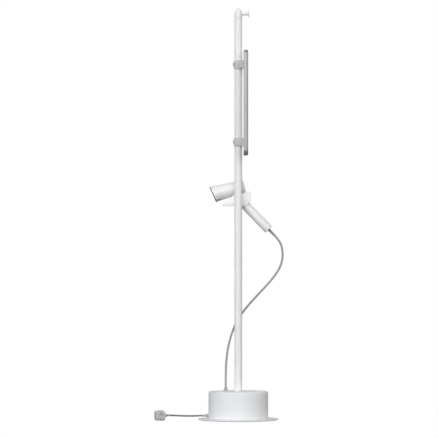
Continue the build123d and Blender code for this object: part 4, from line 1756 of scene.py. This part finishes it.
@dataclass
class Plug(SubAssembly):
    """The angled earthed plug, which lies on its flat side with its pins level."""

    yaw: float = 12.0
    half: float = 18.0
    sleeve_end: float = 10.8
    body_end: float = 46.8
    face: float = -30.6
    top: float = 7.8
    pin_side: float = 9.5
    shoulder: Pair = (14.8, 14.3)

    @property
    def place(self) -> Matrix:
        """X runs on from the cord, Y points up and Z away from the pins.

        Returns:
            The plug's place.
        """
        turn = math.radians(self.yaw)
        along = Vector((-math.cos(turn), -math.sin(turn), 0))
        back = Vector((along.y, -along.x, 0))
        return axes(Vector(CORD_END) * MM, along, back)

    def build(self) -> list[bpy.types.Object]:
        """Make the body, the pins, the earth clips and the sleeve.

        Returns:
            The plug's pieces.
        """
        return [self._body(), self._pins(), self._clips(), self._sleeve()]

    def _body(self) -> bpy.types.Object:
        """The moulded body, with a sloped shoulder, grip ribs and seats for the clips.

        Returns:
            The piece.
        """
        a, b, h = self.sleeve_end, self.body_end, self.half
        plan = rounded([(a, -h, 8), (b, -h, 8), (b, h, 8), (a, h, 8)], True, 8)
        face = self.place @ upright(z=self.face)
        body = BENCH.extruded("plug_body_moulding", plan, self.top - self.face, face)
        slope = math.atan2(self.shoulder[1], self.shoulder[0])
        tilt = self.place @ upright(32.0, 0, self.top) @ Matrix.Rotation(slope, 4, "Y")
        BENCH.cut(body, BENCH.brick("shoulder", (-12, -30, 0), (40, 30, 30), tilt))
        BENCH.bevel(body, 1.3, 3, 32)
        ribs = []
        for i in range(5):
            z = -24.0 + 3.6 * i
            for y in (-h - 2.3, h + 2.3):
                ribs.append(BENCH.brick("rib", (20, y - 3, z - 0.6), (38, y + 3, z + 0.6), self.place))
        BENCH.cut(body, BENCH.joined("ribs", ribs))
        for x in (a, b):
            BENCH.cut(body, BENCH.brick("seat", (x - 1.2, -2.5, -1), (x + 1.2, 2.5, 13.1), face))
        for y in (-self.pin_side, self.pin_side):
            BENCH.cut(body, BENCH.rod(2.42, -1, 8, face, ((a + b) / 2, y)))
        return self.add(body, Body.STAND, "plug_grey", "plug_body")

    def _pins(self) -> bpy.types.Object:
        """Two round pins with rounded tips.

        Returns:
            The piece.
        """
        x = (self.sleeve_end + self.body_end) / 2
        profile = [(0, self.face - 19), (2.4, self.face - 19, 1.9), (2.4, self.face + 8), (0, self.face + 8)]
        place = self.place @ upright(x, -self.pin_side)
        pin = BENCH.turned("pin", profile, place, 40, closed=False, chords=8)
        step = place @ upright(y=2 * self.pin_side) @ place.inverted()
        piece = BENCH.joined("plug_pin_pair", [pin, BENCH.copied(pin, "other_pin", step)])
        return self.add(piece, Body.STAND, "steel", "plug_pins")

    def _clips(self) -> bpy.types.Object:
        """Two sprung earth strips.

        Returns:
            The piece.
        """
        a, b = self.sleeve_end, self.body_end
        strips = []
        for x, step in ((a, 1.1), (b, -1.1)):
            low = (min(x, x + step), -2.3, self.face + 0.1)
            strip = BENCH.brick("strip", low, (max(x, x + step), 2.3, self.face + 13), self.place)
            strips.append(BENCH.bevel(strip, 0.3, 2, 60))
        piece = BENCH.joined("plug_earth_strips", strips)
        return self.add(piece, Body.STAND, "steel", "plug_earth_clips")

    def _sleeve(self) -> bpy.types.Object:
        """The tapered, ringed sleeve where the cord enters.

        Returns:
            The piece.
        """
        along = self.place @ sideways(0, 0, 0)
        profile: list[tuple] = [(3.02, 11.2), (6.2, 11.2), (6.2, self.sleeve_end)]
        for i in range(7):
            height = self.sleeve_end - 0.8 - 2.8 * i
            radius = 6.1 - 0.40 * i
            profile += [
                (radius, height, 0.2), (radius - 0.2, height - 1.5, 0.2), (radius - 0.75, height - 1.7),
                (radius - 0.75, height - 2.5),
            ]
        profile += [(3.35, -10.4), (3.02, -10.4)]
        sleeve = BENCH.turned("plug_sleeve_boot", profile, along, 48, chords=3)
        return self.add(sleeve, Body.STAND, "plug_grey", "plug_sleeve")


def main() -> None:
    """Build the stage and every sub-assembly."""
    logging.basicConfig(level=logging.INFO, format="%(message)s")
    Studio().build()
    catalogue = Catalogue(Effects())
    catalogue.dress_nodes()
    Cords(catalogue).build(Plug(catalogue).build())
    layout = DryerFrame()
    Base(catalogue).build()
    Post(catalogue).build()
    Cradle(catalogue, layout).build()
    Clips(catalogue).build()
    Mirror(catalogue).build()
    Dryer(catalogue, layout).build()


if __name__ == "__main__":
    main()
